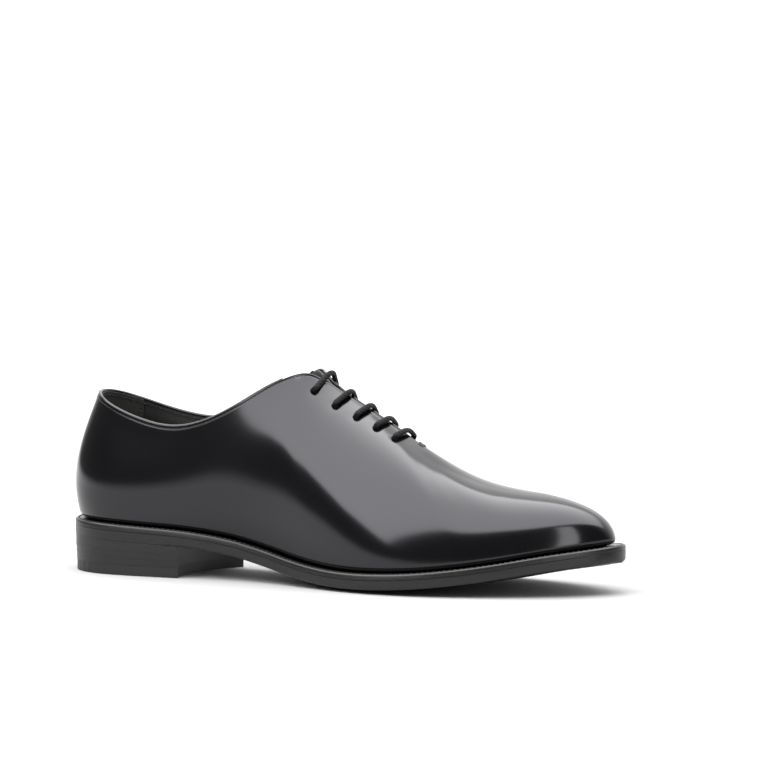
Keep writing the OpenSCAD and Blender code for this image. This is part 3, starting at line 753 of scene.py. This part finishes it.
upper = piece("upper_leather", *shell(
    COLUMNS, heights, flat_depth(0), leather_in, (GAP, GAP + LEATHER), loop=True,
    bulge=0.35 * ease(*RIM_FADE, station(COLUMNS)) * (1 - ease(*SLIT_END, station(COLUMNS))),
    turned=True), polished, "upper_leather", ["upper"])
cut_round_holes(upper, HOLE)

LINING_LIFT = LEATHER + 3 * GAP


def lining(name, t, material, node):
    cut_round_holes(piece(
        name, *shell(t, heights, lining_in, lining_out, (LINING_LIFT, LINING_LIFT)),
        material, "lining_leather", [node]), EYELET_HOLE)


def stations(a, b, per=12):
    return np.linspace(a, b, int(round((b - a) * per)) + 1)


lining("vamp_lining_leather", stations(SEAM, LOOP - SEAM), lining_leather, "vamp_lining")
lining("quarter_lining_leather", stations(-SEAM, SEAM), lining_leather, "quarter_lining")


def grip_in(t, v):
    return lining_out(t, v) + GAP


GRIP_HALF = 1.75
piece("heel_grip_leather", *shell(
    stations(-GRIP_HALF, GRIP_HALF, 16), np.linspace(0.2, 1, 36),
    grip_in, lambda t, v: grip_in(t, v) + GRIP, (0, 0)),
      grip_leather, "grip_leather", ["heel_grip"])


def stiffener_piece(name, t, v, material, slot, node):
    return piece(name, *shell(t, v, lambda a, b: leather_in(a, b) + GAP,
                              lambda a, b: leather_in(a, b) + stiffener(a, b),
                              (LINING_LIFT, LINING_LIFT)), material, slot, [node])


stiffener_piece("heel_counter_board", stations(-4.25, 4.25), heights[heights < 0.71], board,
                "stiffener_board", "heel_counter")
stiffener_piece("toe_puff_board", stations(11.5, LOOP - 11.5), heights, board,
                "stiffener_board", "toe_puff")
STAY_FROM, STAY_TO = 7.0, 10.0
for word, first in (("lateral", STAY_FROM), ("medial", LOOP - STAY_TO)):
    stay = stiffener_piece("facing_stay_tape_" + word, stations(first, first + STAY_TO - STAY_FROM),
                           np.linspace(0.6, 0.965, 14), stay_cloth,
                           "stay_cloth", "facing_stay_" + word)
    cut_round_holes(stay, EYELET_HOLE)


def collar_rings():
    """The folded edge round the collar, in rings of its rounded profile."""
    t = stations(-6.5, 6.5, 14)
    top, n = surface(t, 1.0), outward(t, 1.0)
    rise = unit(top - surface(t, 0.985))
    over, proud = lining_out(t, 1.0) + 0.1, 0.08
    middle, half = (proud - over) / 2, (proud + over) / 2
    rings = []
    for a in np.linspace(0, np.pi, 15):
        height = GAP + (EDGE_HEIGHT - GAP) * math.sin(a) ** 0.7
        rings.append(top + n * (middle + half * math.cos(a))[:, None] + rise * height)
    return swept(np.stack(rings, 1))


piece("collar_bead", *collar_rings(), edge_leather, "edge_leather", ["collar_edge"], sharp=60)


def down(t, distance):
    """Height v at a distance below the top of the upper."""
    return 1 - distance / norm(surface(t, 1.0) - surface(t, 0.999)) * 0.001


collar_t = stations(-7.3, 7.3)
collar_out = outward(collar_t, 1.0)
SUNK = 0.12
piece("collar_stitches", *stitch_row(
    surface(collar_t, down(collar_t, GROOVE_AT)) - SUNK * collar_out, collar_out, *COLLAR_STITCH),
      thread, "thread")

# ---- Back seam, back tab and throat ----
TAB_HALF, TAB_LOW, TAB_EDGE, TAB_THICK = 0.25, 0.9, 0.1, 0.6
tab_t = stations(-TAB_HALF, TAB_HALF, 40)
piece("back_tab_leather", *shell(
    tab_t, np.linspace(TAB_LOW, 1, 14),
    lambda t, v: -TAB_EDGE - (TAB_THICK - TAB_EDGE) * ease(TAB_LOW, 0.93, v), flat_depth(-GAP),
    (0, 0), bulge=np.full(len(tab_t), 0.2)), polished, "upper_leather", ["back_tab"])


def tab_stitches():
    """A row of stitches round three sides of the back tab."""
    edge = np.linspace(0.985, 0.925, 12)
    t = np.concatenate([np.full(12, -0.2), np.linspace(-0.19, 0.19, 12), np.full(12, 0.2)])
    v = np.concatenate([edge, np.full(12, 0.92), edge[::-1]])
    n = outward(t, v)
    return stitch_row(surface(t, v) + (TAB_THICK + 0.02) * n, n, *TAB_STITCH)


piece("back_tab_stitches", *tab_stitches(), thread, "thread")


def back_seam():
    """The upper's closing seam down the back, a fine raised line of leather."""
    v = np.linspace(0.03, 0.9, 60)
    path, n = surface(0 * v, v), outward(0 * v, v)
    tuck = np.clip(1 - (path[:, 2] - deck(path[:, 0])) / CREASE, 0, 1)[:, None] * 0.8
    s = np.cross(unit(np.gradient(path, axis=0)), n)
    return swept(np.stack([path - tuck * n + 0.55 * math.cos(a) * s + 0.16 * math.sin(a) * n
                           for a in angles(10)], 1))


piece("back_seam", *back_seam(), polished, "upper_leather")


def bar_tack():
    """Close strands of thread across the foot of the slit."""
    strands = []
    reach = (2.6, 1.7, 0.8)
    rise = np.array([0, 0.35, 0.5, 0.55, 0.5, 0.35, 0])[:, None]
    for t in THROAT + np.linspace(-0.055, 0.055, 7):
        n = out_of_ridge(t)
        half = [surface(t, down(t, d)) for d in reach]
        other = [surface(LOOP - t, down(LOOP - t, d)) for d in reach[::-1]]
        path = np.array(half + [surface(t, 1.0)] + other) + n * rise
        strands.append(tube(path, n, TACK_RADIUS, TACK_RADIUS))
    return joined(*strands)


piece("throat_bar_tack", *bar_tack(), thread, "thread", ["throat_tack"])

# ---- Stitching inside the collar ----
def inside_row(t, v, depth, stitch=LINING_STITCH):
    n = outward(t, v)
    return stitch_row(surface(t, v) - n * depth(t, v)[..., None], -n, *stitch)


def on_lining(t, v):
    return lining_out(t, v) + 0.02


def on_grip(t, v):
    return grip_in(t, v) + GRIP + 0.02


def on_collar(t, v):
    return np.where(np.abs(t) < GRIP_HALF + 0.05, on_grip(t, v), on_lining(t, v))


rise_v = np.linspace(0.25, 0.96, 60)
piece("lining_stitches", *joined(
    *[inside_row(np.full(60, t), rise_v, on_grip) for t in (1.66, -1.66)],
    inside_row(collar_t, down(collar_t, 1.7), on_collar, LINING_EDGE_STITCH)), thread, "thread")

# ---- Tongue ----
# Places along the shoe of the tongue's root and free end, its half widths there, and two points
# of the ridge that it lies under
TONGUE_ROOT = np.array([203.0, 128.0])
TONGUE_HALF = np.array([14.0, 22.0])
RIDGE_FROM, RIDGE_TO = (143.2, 100.7), (197.1, 71.7)


def tongue_point(s, f, drop):
    """Point at a share s of the tongue's length and f of its half width, at a depth in it."""
    s, f = np.broadcast_arrays(np.asarray(s, float), np.asarray(f, float))
    x = TONGUE_ROOT[0] + (TONGUE_ROOT[1] - TONGUE_ROOT[0]) * s + 7 * s * f ** 2
    y = f * (TONGUE_HALF[0] + (TONGUE_HALF[1] - TONGUE_HALF[0]) * s ** 0.7)
    under = 4.8 + 4.1 * ease(0, 0.25, s) - 4 * ease(0.82, 1, s) * (1 - ease(0.1, 0.5, np.abs(f)))
    slope = (RIDGE_TO[1] - RIDGE_FROM[1]) / (RIDGE_TO[0] - RIDGE_FROM[0])
    ridge = RIDGE_FROM[1] + (x - RIDGE_FROM[0]) * slope
    w = (x - 145) / 45
    fall = np.where(y < 0, 0.86 - 0.54 * w, 1 - 0.34 * w)
    return np.stack([x, y, ridge - under - fall * (np.sqrt(y ** 2 + 25) - 5) - drop], -1)


def tongue_sheet(top, bottom):
    """One layer of the tongue with rounded edges, in rings across it."""
    f = np.linspace(-1, 1, 33)
    edge = top + (bottom - top) * np.array([0.25, 0.75])
    rings = []
    for s in np.linspace(0, 1, 61):
        ring = [tongue_point(s, x * 0.985, top) for x in f]
        ring += [tongue_point(s, 1, z) for z in edge]
        ring += [tongue_point(s, x * 0.985, bottom) for x in f[::-1]]
        ring += [tongue_point(s, -1, z) for z in edge[::-1]]
        rings.append(ring)
    rings = np.array(rings)
    ends = []
    for end, inner in ((0, 1), (-1, -2)):
        middle = (rings[end] - rings[inner]) * 0.25
        shrink = rings[end].copy()
        f = np.clip(shrink[:, 1] / TONGUE_HALF[end], -1, 1)
        level = tongue_point(abs(end), f, (top + bottom) / 2)
        shrink[:, 2] = level[:, 2] + (shrink[:, 2] - level[:, 2]) * 0.6
        ends.append(shrink + middle)
    return swept(np.concatenate([[ends[0]], rings, [ends[1]]]))


piece("tongue_leather", *tongue_sheet(0, TONGUE), polished, "upper_leather", ["tongue"], "tongue")
piece("tongue_lining_leather", *tongue_sheet(TONGUE + GAP, TONGUE + GAP + TONGUE_LINING),
      lining_leather, "lining_leather", ["tongue_lining"], "tongue")


def tongue_stitches():
    """Stitches round the tongue's free edge, 3 mm in from it."""
    start, end, beside = 0.1, 0.955, 0.87
    s = np.concatenate([np.linspace(start, end, 30), np.full(30, end), np.linspace(end, start, 30)])
    f = np.repeat([-beside, 0, beside], 30)
    f[30:60] = np.linspace(-beside, beside, 30)
    path = tongue_point(s, f, -0.05)
    up = unit(np.cross(tongue_point(s + 0.01, f, 0) - path, tongue_point(s, f + 0.01, 0) - path))
    up *= np.sign(up[:, 2:])
    return stitch_row(path, up, *TONGUE_STITCH)


piece("tongue_stitches", *tongue_stitches(), thread, "thread", body="tongue")

# ---- Lace ----
RIDGE_ALONG = unit(np.array([RIDGE_TO[0] - RIDGE_FROM[0], 0, RIDGE_TO[1] - RIDGE_FROM[1]]))
RIDGE_OUT = np.array([-RIDGE_ALONG[2], 0, RIDGE_ALONG[0]])


def run_point(u, v, s):
    """Place of a hidden run of lace under the facing of side s, 0 the outer and 1 the inner."""
    t = u if s == 0 else LOOP - u
    return surface(t, v) - RUN_DEPTH * outward(t, v)


def turn_over(row, s, across):
    """The lace's way up out of an eyelet and over towards the slit."""
    a, n = EYELET_SPOTS[row][s]
    return [a - 2.4 * n, a - 0.3 * n, a + 0.5 * TURN * (2 * n * 0.72 + across * 0.5),
            a + TURN * (0.98 * n + across)]


def turn_under(row, s, across):
    """The lace's way from a hidden run up into an eyelet."""
    a, n = EYELET_SPOTS[row][s]
    a = a - RUN_DEPTH * n
    return [a + TURN * across, a + TURN * (0.35 * n + 0.2 * across)]


def bar(row, s_from, s_to):
    """A straight bar over the slit."""
    a, b = EYELET_SPOTS[row][s_from][0], EYELET_SPOTS[row][s_to][0]
    crown = (surface(EYELETS[row][0], 1.0) - (a + b) / 2) @ RIDGE_OUT + BAR_RISE[row]
    rise = LACE_RADIUS + LACE_RISE
    return [a + (b - a) * f + RIDGE_OUT * (crown * (1 - abs(2 * f - 1) ** 1.3) + rise)
            for f in (0.27, 0.42, 0.58, 0.73)]


def flat(d, n):
    return unit(d - (d @ n) * n)


def crossing(row, s_from, s_to):
    (a, na), (b, nb) = EYELET_SPOTS[row][s_from], EYELET_SPOTS[row][s_to]
    d = unit(b - a)
    return (turn_over(row, s_from, flat(d, na)) + bar(row, s_from, s_to)
            + turn_over(row, s_to, flat(-d, nb))[::-1])


def run(s, row_a, row_b, past):
    d = unit(EYELET_SPOTS[row_b][s][0] - EYELET_SPOTS[row_a][s][0])
    return (turn_under(row_a, s, d)[::-1] + [run_point(u, v, s) for u, v in past]
            + turn_under(row_b, s, -d))


def tail(s, row, past):
    d = unit(run_point(*past[0], s) - EYELET_SPOTS[row][s][0])
    return turn_under(row, s, d)[::-1] + [run_point(u, v, s) for u, v in past]


LACE_ROUTE = np.array(
    tail(0, 1, [(8.1, 0.83), (7.7, 0.8), (6.5, 0.78)])[::-1] + crossing(1, 0, 1)
    + run(1, 1, 3, [(8.65, 0.84), (8.92, 0.8), (9.2, 0.84)]) + crossing(3, 1, 0)
    + run(0, 3, 4, []) + crossing(4, 0, 1)
    + run(1, 4, 2, [(9.6, 0.91), (9.4, 0.93), (9.15, 0.91)]) + crossing(2, 1, 0)
    + run(0, 2, 0, [(8.65, 0.91), (8.38, 0.93), (8.05, 0.91)]) + crossing(0, 0, 1)
    + tail(1, 0, [(7.4, 0.83), (7.1, 0.81), (5.8, 0.76)]))


def lace():
    """The lace as a tube on a smooth curve through its route, with UVs for its braid."""
    route = LACE_ROUTE
    before = np.vstack([2 * route[0] - route[1], route[:-1]])
    after = np.vstack([route[1:], 2 * route[-1] - route[-2]])
    pull = (after - before) / 2
    smooth = []
    for i in range(len(route) - 1):
        for f in np.linspace(0, 1, 8, endpoint=False):
            a, b = route[i], route[i + 1]
            span = norm(b - a)
            p, q = [unit(v) * min(norm(v), span) for v in (pull[i], pull[i + 1])]
            smooth.append(hermite(f, a, b, p, q))
    path = np.array(smooth + [route[-1]])
    d = unit(np.gradient(path, axis=0))
    across = unit(np.cross(d[0], [0.3, 0.2, 1]))
    sides = 18
    rings = []
    for p, forward in zip(path, d):
        level = RIDGE_ALONG - (RIDGE_ALONG @ forward) * forward
        across = unit(across - (across @ forward) * forward)
        across = unit(across + 0.35 * level * np.sign(level @ across + 1e-9))
        other = np.cross(forward, across)
        rings.append([p + LACE_WIDE * math.cos(a) * across + LACE_THICK * math.sin(a) * other
                      for a in angles(sides)])
    points, faces = swept(np.array(rings))
    obj = piece("lace_cord", points, faces, lace_cord, "lace_cord", ["lace"], sharp=70)
    reach = reach_of(path)
    layer_uv = obj.data.uv_layers.new(name="along")
    for polygon in obj.data.polygons:
        ids = [obj.data.loops[i].vertex_index for i in polygon.loop_indices]
        wraps = max(v % sides for v in ids) == sides - 1 and min(v % sides for v in ids) == 0
        for i, v in zip(polygon.loop_indices, ids):
            round_it = v % sides
            if wraps and round_it == 0 and len(ids) == 4:
                round_it = sides
            layer_uv.data[i].uv = (reach[v // sides], round_it / sides)


lace()

# ---- Welt, sole and footbed ----
# Pairs of inset from the sole's edge and lift: a bevelled edge and a groove for the stitches
WELT_PROFILE = [
    (0.12, -WELT), (0, -WELT + 0.12), (0, -0.75), (0.1, -0.55), (0.55, -0.08), (0.85, 0),
    (1.25, -0.05), (1.5, -0.2), (1.85, -0.2), (2.1, -0.05), (2.4, 0), (WELT_WIDTH, 0),
    (WELT_WIDTH, -WELT)]
piece("welt_strip", *swept(np.stack([on_deck(inset(COLUMNS, by + 0 * COLUMNS), lift)
                                     for by, lift in WELT_PROFILE], 1), loop=True),
      welt_leather, "welt_leather", ["welt"], sharp=35)


def flat_row(path, stitch):
    """Stitches that lie on a level face."""
    return stitch_row(path, np.tile([0, 0, 1.0], (len(path), 1)), *stitch)


stitch_t = np.append(COLUMNS, LOOP)
piece("welt_stitches", *flat_row(on_deck(inset(stitch_t, 1.68 + 0 * stitch_t), -0.08), WELT_STITCH),
      thread, "thread")


def distance_to(line, p):
    """Distance in plan from each point to the nearest point of a line."""
    return np.sqrt(((p[:, None] - line[None]) ** 2).sum(-1)).min(1)


def edge_distance(p):
    return distance_to(spline(SOLE, COLUMNS), p)


def across_grid(by, f):
    """Points in plan between the two sides of the sole, inset by a margin."""
    t = np.arange(HALF * PER_STATION + 1) / PER_STATION
    a, b = inset(t, by(t)), inset(LOOP - t, by(LOOP - t))
    a[[0, -1], 1] = b[[0, -1], 1] = (a[[0, -1], 1] + b[[0, -1], 1]) / 2
    a[[0, -1], 0] = b[[0, -1], 0]
    return a[:, None] + (b - a)[:, None] * f[None, :, None]


# Shares of the way across at which a slab has its points, closer together at the edges
EDGE_FIRST = np.array([0, 0.004, 0.009, 0.016, 0.026, 0.04, 0.06, 0.1, 0.16, 0.23, 0.3, 0.36, 0.43])
ACROSS = np.concatenate([EDGE_FIRST, [0.5], 1 - EDGE_FIRST[::-1]])


def slab(plan, low, high):
    """Closed solid over a plan grid between two height functions of points in plan."""
    n, m = plan.shape[:2]
    p = plan.reshape(-1, 2)
    top, bottom = [np.column_stack([p, z(p)]) for z in (high, low)]

    def vid(s, k, i):
        return s * n * m + k * m + (0 if k in (0, n - 1) else i)

    faces = []
    for k in range(n - 1):
        for i in range(m - 1):
            for s in (0, 1):
                quad = [vid(s, k, i), vid(s, k + 1, i), vid(s, k + 1, i + 1), vid(s, k, i + 1)]
                quad = [v for j, v in enumerate(quad) if v != quad[j - 1]]
                faces.append(tuple(quad if s else quad[::-1]))
        for i in (0, m - 1):
            faces.append((vid(0, k, i), vid(0, k + 1, i), vid(1, k + 1, i), vid(1, k, i)))
    return np.concatenate([top, bottom]), faces


def rounding(distance, radius):
    """How much a rounded edge of a radius is below the face at a distance from the edge."""
    d = np.clip(distance, 0, radius)
    return radius - np.sqrt(radius ** 2 - (radius - d) ** 2)


def bulge(p):
    """Crown of the sole's underside, least at the edges."""
    line_t = np.arange(HALF * PER_STATION + 1) / PER_STATION
    a, b = spline(SOLE, line_t), spline(SOLE, LOOP - line_t)
    low = np.interp(p[:, 0], a[:, 0], a[:, 1])
    high = np.interp(p[:, 0], b[:, 0], b[:, 1])
    f = np.clip((p[:, 1] - low) / np.maximum(high - low, 1), 0, 1)
    return CAMBER * 4 * f * (1 - f) * ease(80, 125, p[:, 0]) * (1 - 0.4 * ease(250, 310, p[:, 0]))


def sole_low(p):
    """The underside, rounded at its edge in front of the heel."""
    rounded = rounding(edge_distance(p), 0.9) * ease(60, 74, p[:, 0])
    return deck(p[:, 0]) - SEAT - bulge(p) + rounded


piece("outsole_leather", *slab(
    across_grid(lambda t: 0 * t, ACROSS), sole_low,
    lambda p: deck(p[:, 0]) - WELT - GAP - rounding(edge_distance(p), 0.12)),
    sole_leather, "sole_leather", ["outsole"], sharp=35)


def channel():
    """The closed channel over the sole seam, a fine ridge round the forepart and waist."""
    t = stations(4.6, LOOP - 4.6, 10)
    p = inset(t, 7 + 0 * t)
    path = np.column_stack([p, deck(p[:, 0]) - SEAT - bulge(p)])
    return tube(path, np.array([0, 0, -1.0]), 0.45, 0.14)


piece("sole_channel", *channel(), sole_leather, "sole_leather")

INNER = LEATHER + 2 * GAP + STIFFENER + COUNTER_EXTRA + LINING + 0.3


def sock_margin(t):
    return INNER + spline(MARGIN, t)


def sock_low(p):
    """The sock liner's underside, which rises over the heel pad."""
    return deck(p[:, 0]) + INSOLE_TOP + GAP + PAD * (1 - ease(66, 82, p[:, 0]))


def sock_high(p):
    edge = distance_to(inset(COLUMNS, sock_margin(COLUMNS)), p)
    return sock_low(p) + SOCK - rounding(edge, 0.6)


piece("sock_liner_leather", *slab(across_grid(sock_margin, ACROSS), sock_low, sock_high),
      sock_leather, "sock_leather", ["sock_liner"])


def sock_stitches():
    """Stitches that hold the heel pad under the sock liner."""
    f = np.linspace(0.1, 0.9, 40)
    p = np.column_stack([84 - 5 * (2 * f - 1) ** 2, -27 + 50 * f])
    return flat_row(np.column_stack([p, sock_low(p) + SOCK]), SOCK_STITCH)


piece("sock_stitches", *sock_stitches(), thread, "thread")


# ---- Heel ----
def heel_outline(by):
    """The heel's outline in plan: round its back and along its hollow front."""
    t = np.linspace(-4.5, 4.5, 289)
    p = inset(t, by + 0 * t)
    p = p[norm(p - BREAST) > BREAST_RADIUS]
    first, last = [math.atan2(*(q - BREAST)[::-1]) % (2 * math.pi) for q in (p[0], p[-1])]
    turn = np.linspace(last, first, 34)[1:-1]
    arc = BREAST + BREAST_RADIUS * np.column_stack([np.cos(turn), np.sin(turn)])
    return np.concatenate([p, arc])


SOFT = 0.05


def heel_layer(by, low, high, wedge=False):
    """One layer of the heel, with its edges softened. A wedge ends under the sole."""
    outline = heel_outline(by)
    step = np.roll(outline, -1, 0) - np.roll(outline, 1, 0)
    out = unit(np.column_stack([step[:, 1], -step[:, 0]]))

    def ring(shrink, z):
        p = outline - out * shrink
        height = np.full(len(p), z)
        if wedge and z == high:
            height = np.minimum(deck(p[:, 0]) - SEAT - GAP, high)
        return np.column_stack([p, height])

    top = ring(SOFT, high)
    below = ring(0, high)
    below[:, 2] -= SOFT
    rings = [ring(SOFT, low), ring(0, low + SOFT), below, top]
    if wedge:
        thin = rings[2][:, 2] < low + SOFT
        rings[2][thin, 2] = low + SOFT
        rings[3][:, 2] = np.maximum(rings[3][:, 2], low + SOFT)
    return swept(np.stack(rings))


# Above the highest point of the sole's seat
SEAT_TOP = 24.0
for count in (1, 2, 3):
    low = TOP_PIECE + (3 - count) * (LIFT + GAP)
    high = SEAT_TOP if count == 1 else low + LIFT + GAP
    piece("heel_lift_leather_%d" % count,
          *heel_layer(count * LIFT_STEP, low, high, wedge=count == 1), heel_leather,
          "heel_leather", ["heel_lift_%d" % count], sharp=30)

# ---- CAD nodes that stay, with their finishes ----
KEPT = {"eyelets": eyelet_metal, "aglets": aglet_plastic, "insole": insole_leather,
        "heel_pad": foam, "shank": shank_steel, "seat_filler": filler_board, "cork_filler": cork,
        "top_piece": rubber, "heel_nails": nail_brass}
for node, material in KEPT.items():
    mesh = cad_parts[node].data
    mesh.materials.clear()
    mesh.materials.append(material)

# ---- Studio ----
def ramp(tree, value, start, end, low, high):
    return add(tree, "MapRange", "Result", {
        "Value": value, "From Min": start, "From Max": end, "To Min": low, "To Max": high},
        interpolation_type="SMOOTHSTEP")


def panel(name, corner, side, up, radiance, fade=1.0):
    """A soft rectangular light from one corner along its two sides, facing the shoe. Its light
    falls off towards its upper end to the share given."""
    corner, side, up = Vector(corner), Vector(side), Vector(up)
    data = bpy.data.lights.new(name, "AREA")
    data.shape = "RECTANGLE"
    data.size, data.size_y = side.length, up.length
    data.energy = radiance * math.pi * side.length * up.length
    data.use_nodes = True
    tree = data.node_tree
    place = add(tree, "SeparateXYZ", "Y", {"Vector": add(tree, "NewGeometry", "Parametric", {})})
    fill(tree.nodes["Emission"], {"Strength": ramp(tree, place, 0.45, 1.0, 1.0, fade)})
    middle = corner + side / 2 + up / 2
    x, y = side.normalized(), up.normalized()
    z = x.cross(y)
    if z.dot(middle) < 0:
        x, z = -x, -z
    light = bpy.data.objects.new(name, data)
    light.matrix_world = Matrix([[x[i], y[i], z[i], middle[i]] for i in range(3)] + [[0, 0, 0, 1]])
    light.visible_camera = False
    show(light)


# The big panel hangs over the shoe, from its near corner low in front of the outer side to high
# behind the inner side. A narrow strip stands upright in front of the toe's outer side.
OVERHEAD_CORNER = (-0.291, -0.86, 0.209)
OVERHEAD_SIDE = Vector((-0.596, 0.453, 0.364)) * 1.95
OVERHEAD_UP = Vector((0.693, 0.628, 0.354)) * 2.9
panel("overhead_panel", OVERHEAD_CORNER, OVERHEAD_SIDE, OVERHEAD_UP, 4.9, 0.3)
panel("side_strip", (1.19, -1.07, 0.02), (0.23, 0.32, 0), (0, 0, 1.9), 4.0)

# The room glows softly from behind and above the shoe
GLOW_TOWARDS = (0.0, 0.85, 0.53)
world = bpy.data.worlds.new("studio")
world.use_nodes = True
tree = world.node_tree
towards = add(tree, "TexCoord", "Generated", {})
facing = add(tree, "VectorMath", "Value", {0: towards, 1: GLOW_TOWARDS}, operation="DOT_PRODUCT")
fill(tree.nodes["Background"], {
    "Color": (1, 1, 1, 1), "Strength": ramp(tree, facing, 0.3, 1.0, 0.16, 1.9)})
bpy.context.scene.world = world

# The table is a sheet that glows: painted light, none near the shoe and rising with distance from
# the origin, so it shows bright beyond the shoe's surroundings
FLOOR = 40.0
floor_mesh = bpy.data.meshes.new("floor")
floor_mesh.from_pydata([(FLOOR * x, FLOOR * y, 0) for x, y in ((-1, -1), (1, -1), (1, 1), (-1, 1))],
                       [], [(0, 1, 2, 3)])
floor = bpy.data.objects.new("floor", floor_mesh)
paper, tree, shader = new_material("paper")
place = add(tree, "TexCoord", "Object", {})
away = add(tree, "VectorMath", "Value", {0: place}, operation="LENGTH")
fill(shader, {
    "Base Color": (0.37, 0.37, 0.37, 1),
    "Roughness": 0.9,
    "Emission Color": (1, 1, 1, 1),
    "Emission Strength": ramp(tree, away, 0.3, 1.1, 0.0, 0.8)})
floor_mesh.materials.append(paper)
show(floor)
floor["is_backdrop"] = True
bpy.context.scene.view_settings.view_transform = "Standard"

# ---- Camera: a very long lens, low and turned towards the toe ----
CAMERA_AZIMUTH, CAMERA_ELEVATION = math.radians(27.0), math.radians(6.05)
LENS = 1000.0
# Width of the view in metres, and how far its middle is from the origin to the right and up
VIEW_WIDTH = 0.3978
MIDDLE_RIGHT, MIDDLE_UP = 0.0211, 0.0983
turn = (Matrix.Rotation(CAMERA_AZIMUTH, 3, "Z")
        @ Matrix.Rotation(math.pi / 2 - CAMERA_ELEVATION, 3, "X"))
right, up, back = turn.transposed()
camera_data = bpy.data.cameras.new("camera")
camera_data.lens = LENS
distance = VIEW_WIDTH * LENS / camera_data.sensor_width
camera_data.clip_start, camera_data.clip_end = distance * 0.1, distance * 10
camera = bpy.data.objects.new("camera", camera_data)
camera.location = right * MIDDLE_RIGHT + up * MIDDLE_UP + back * distance
camera.rotation_euler = turn.to_euler()
show(camera)
bpy.context.scene.camera = camera

low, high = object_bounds()
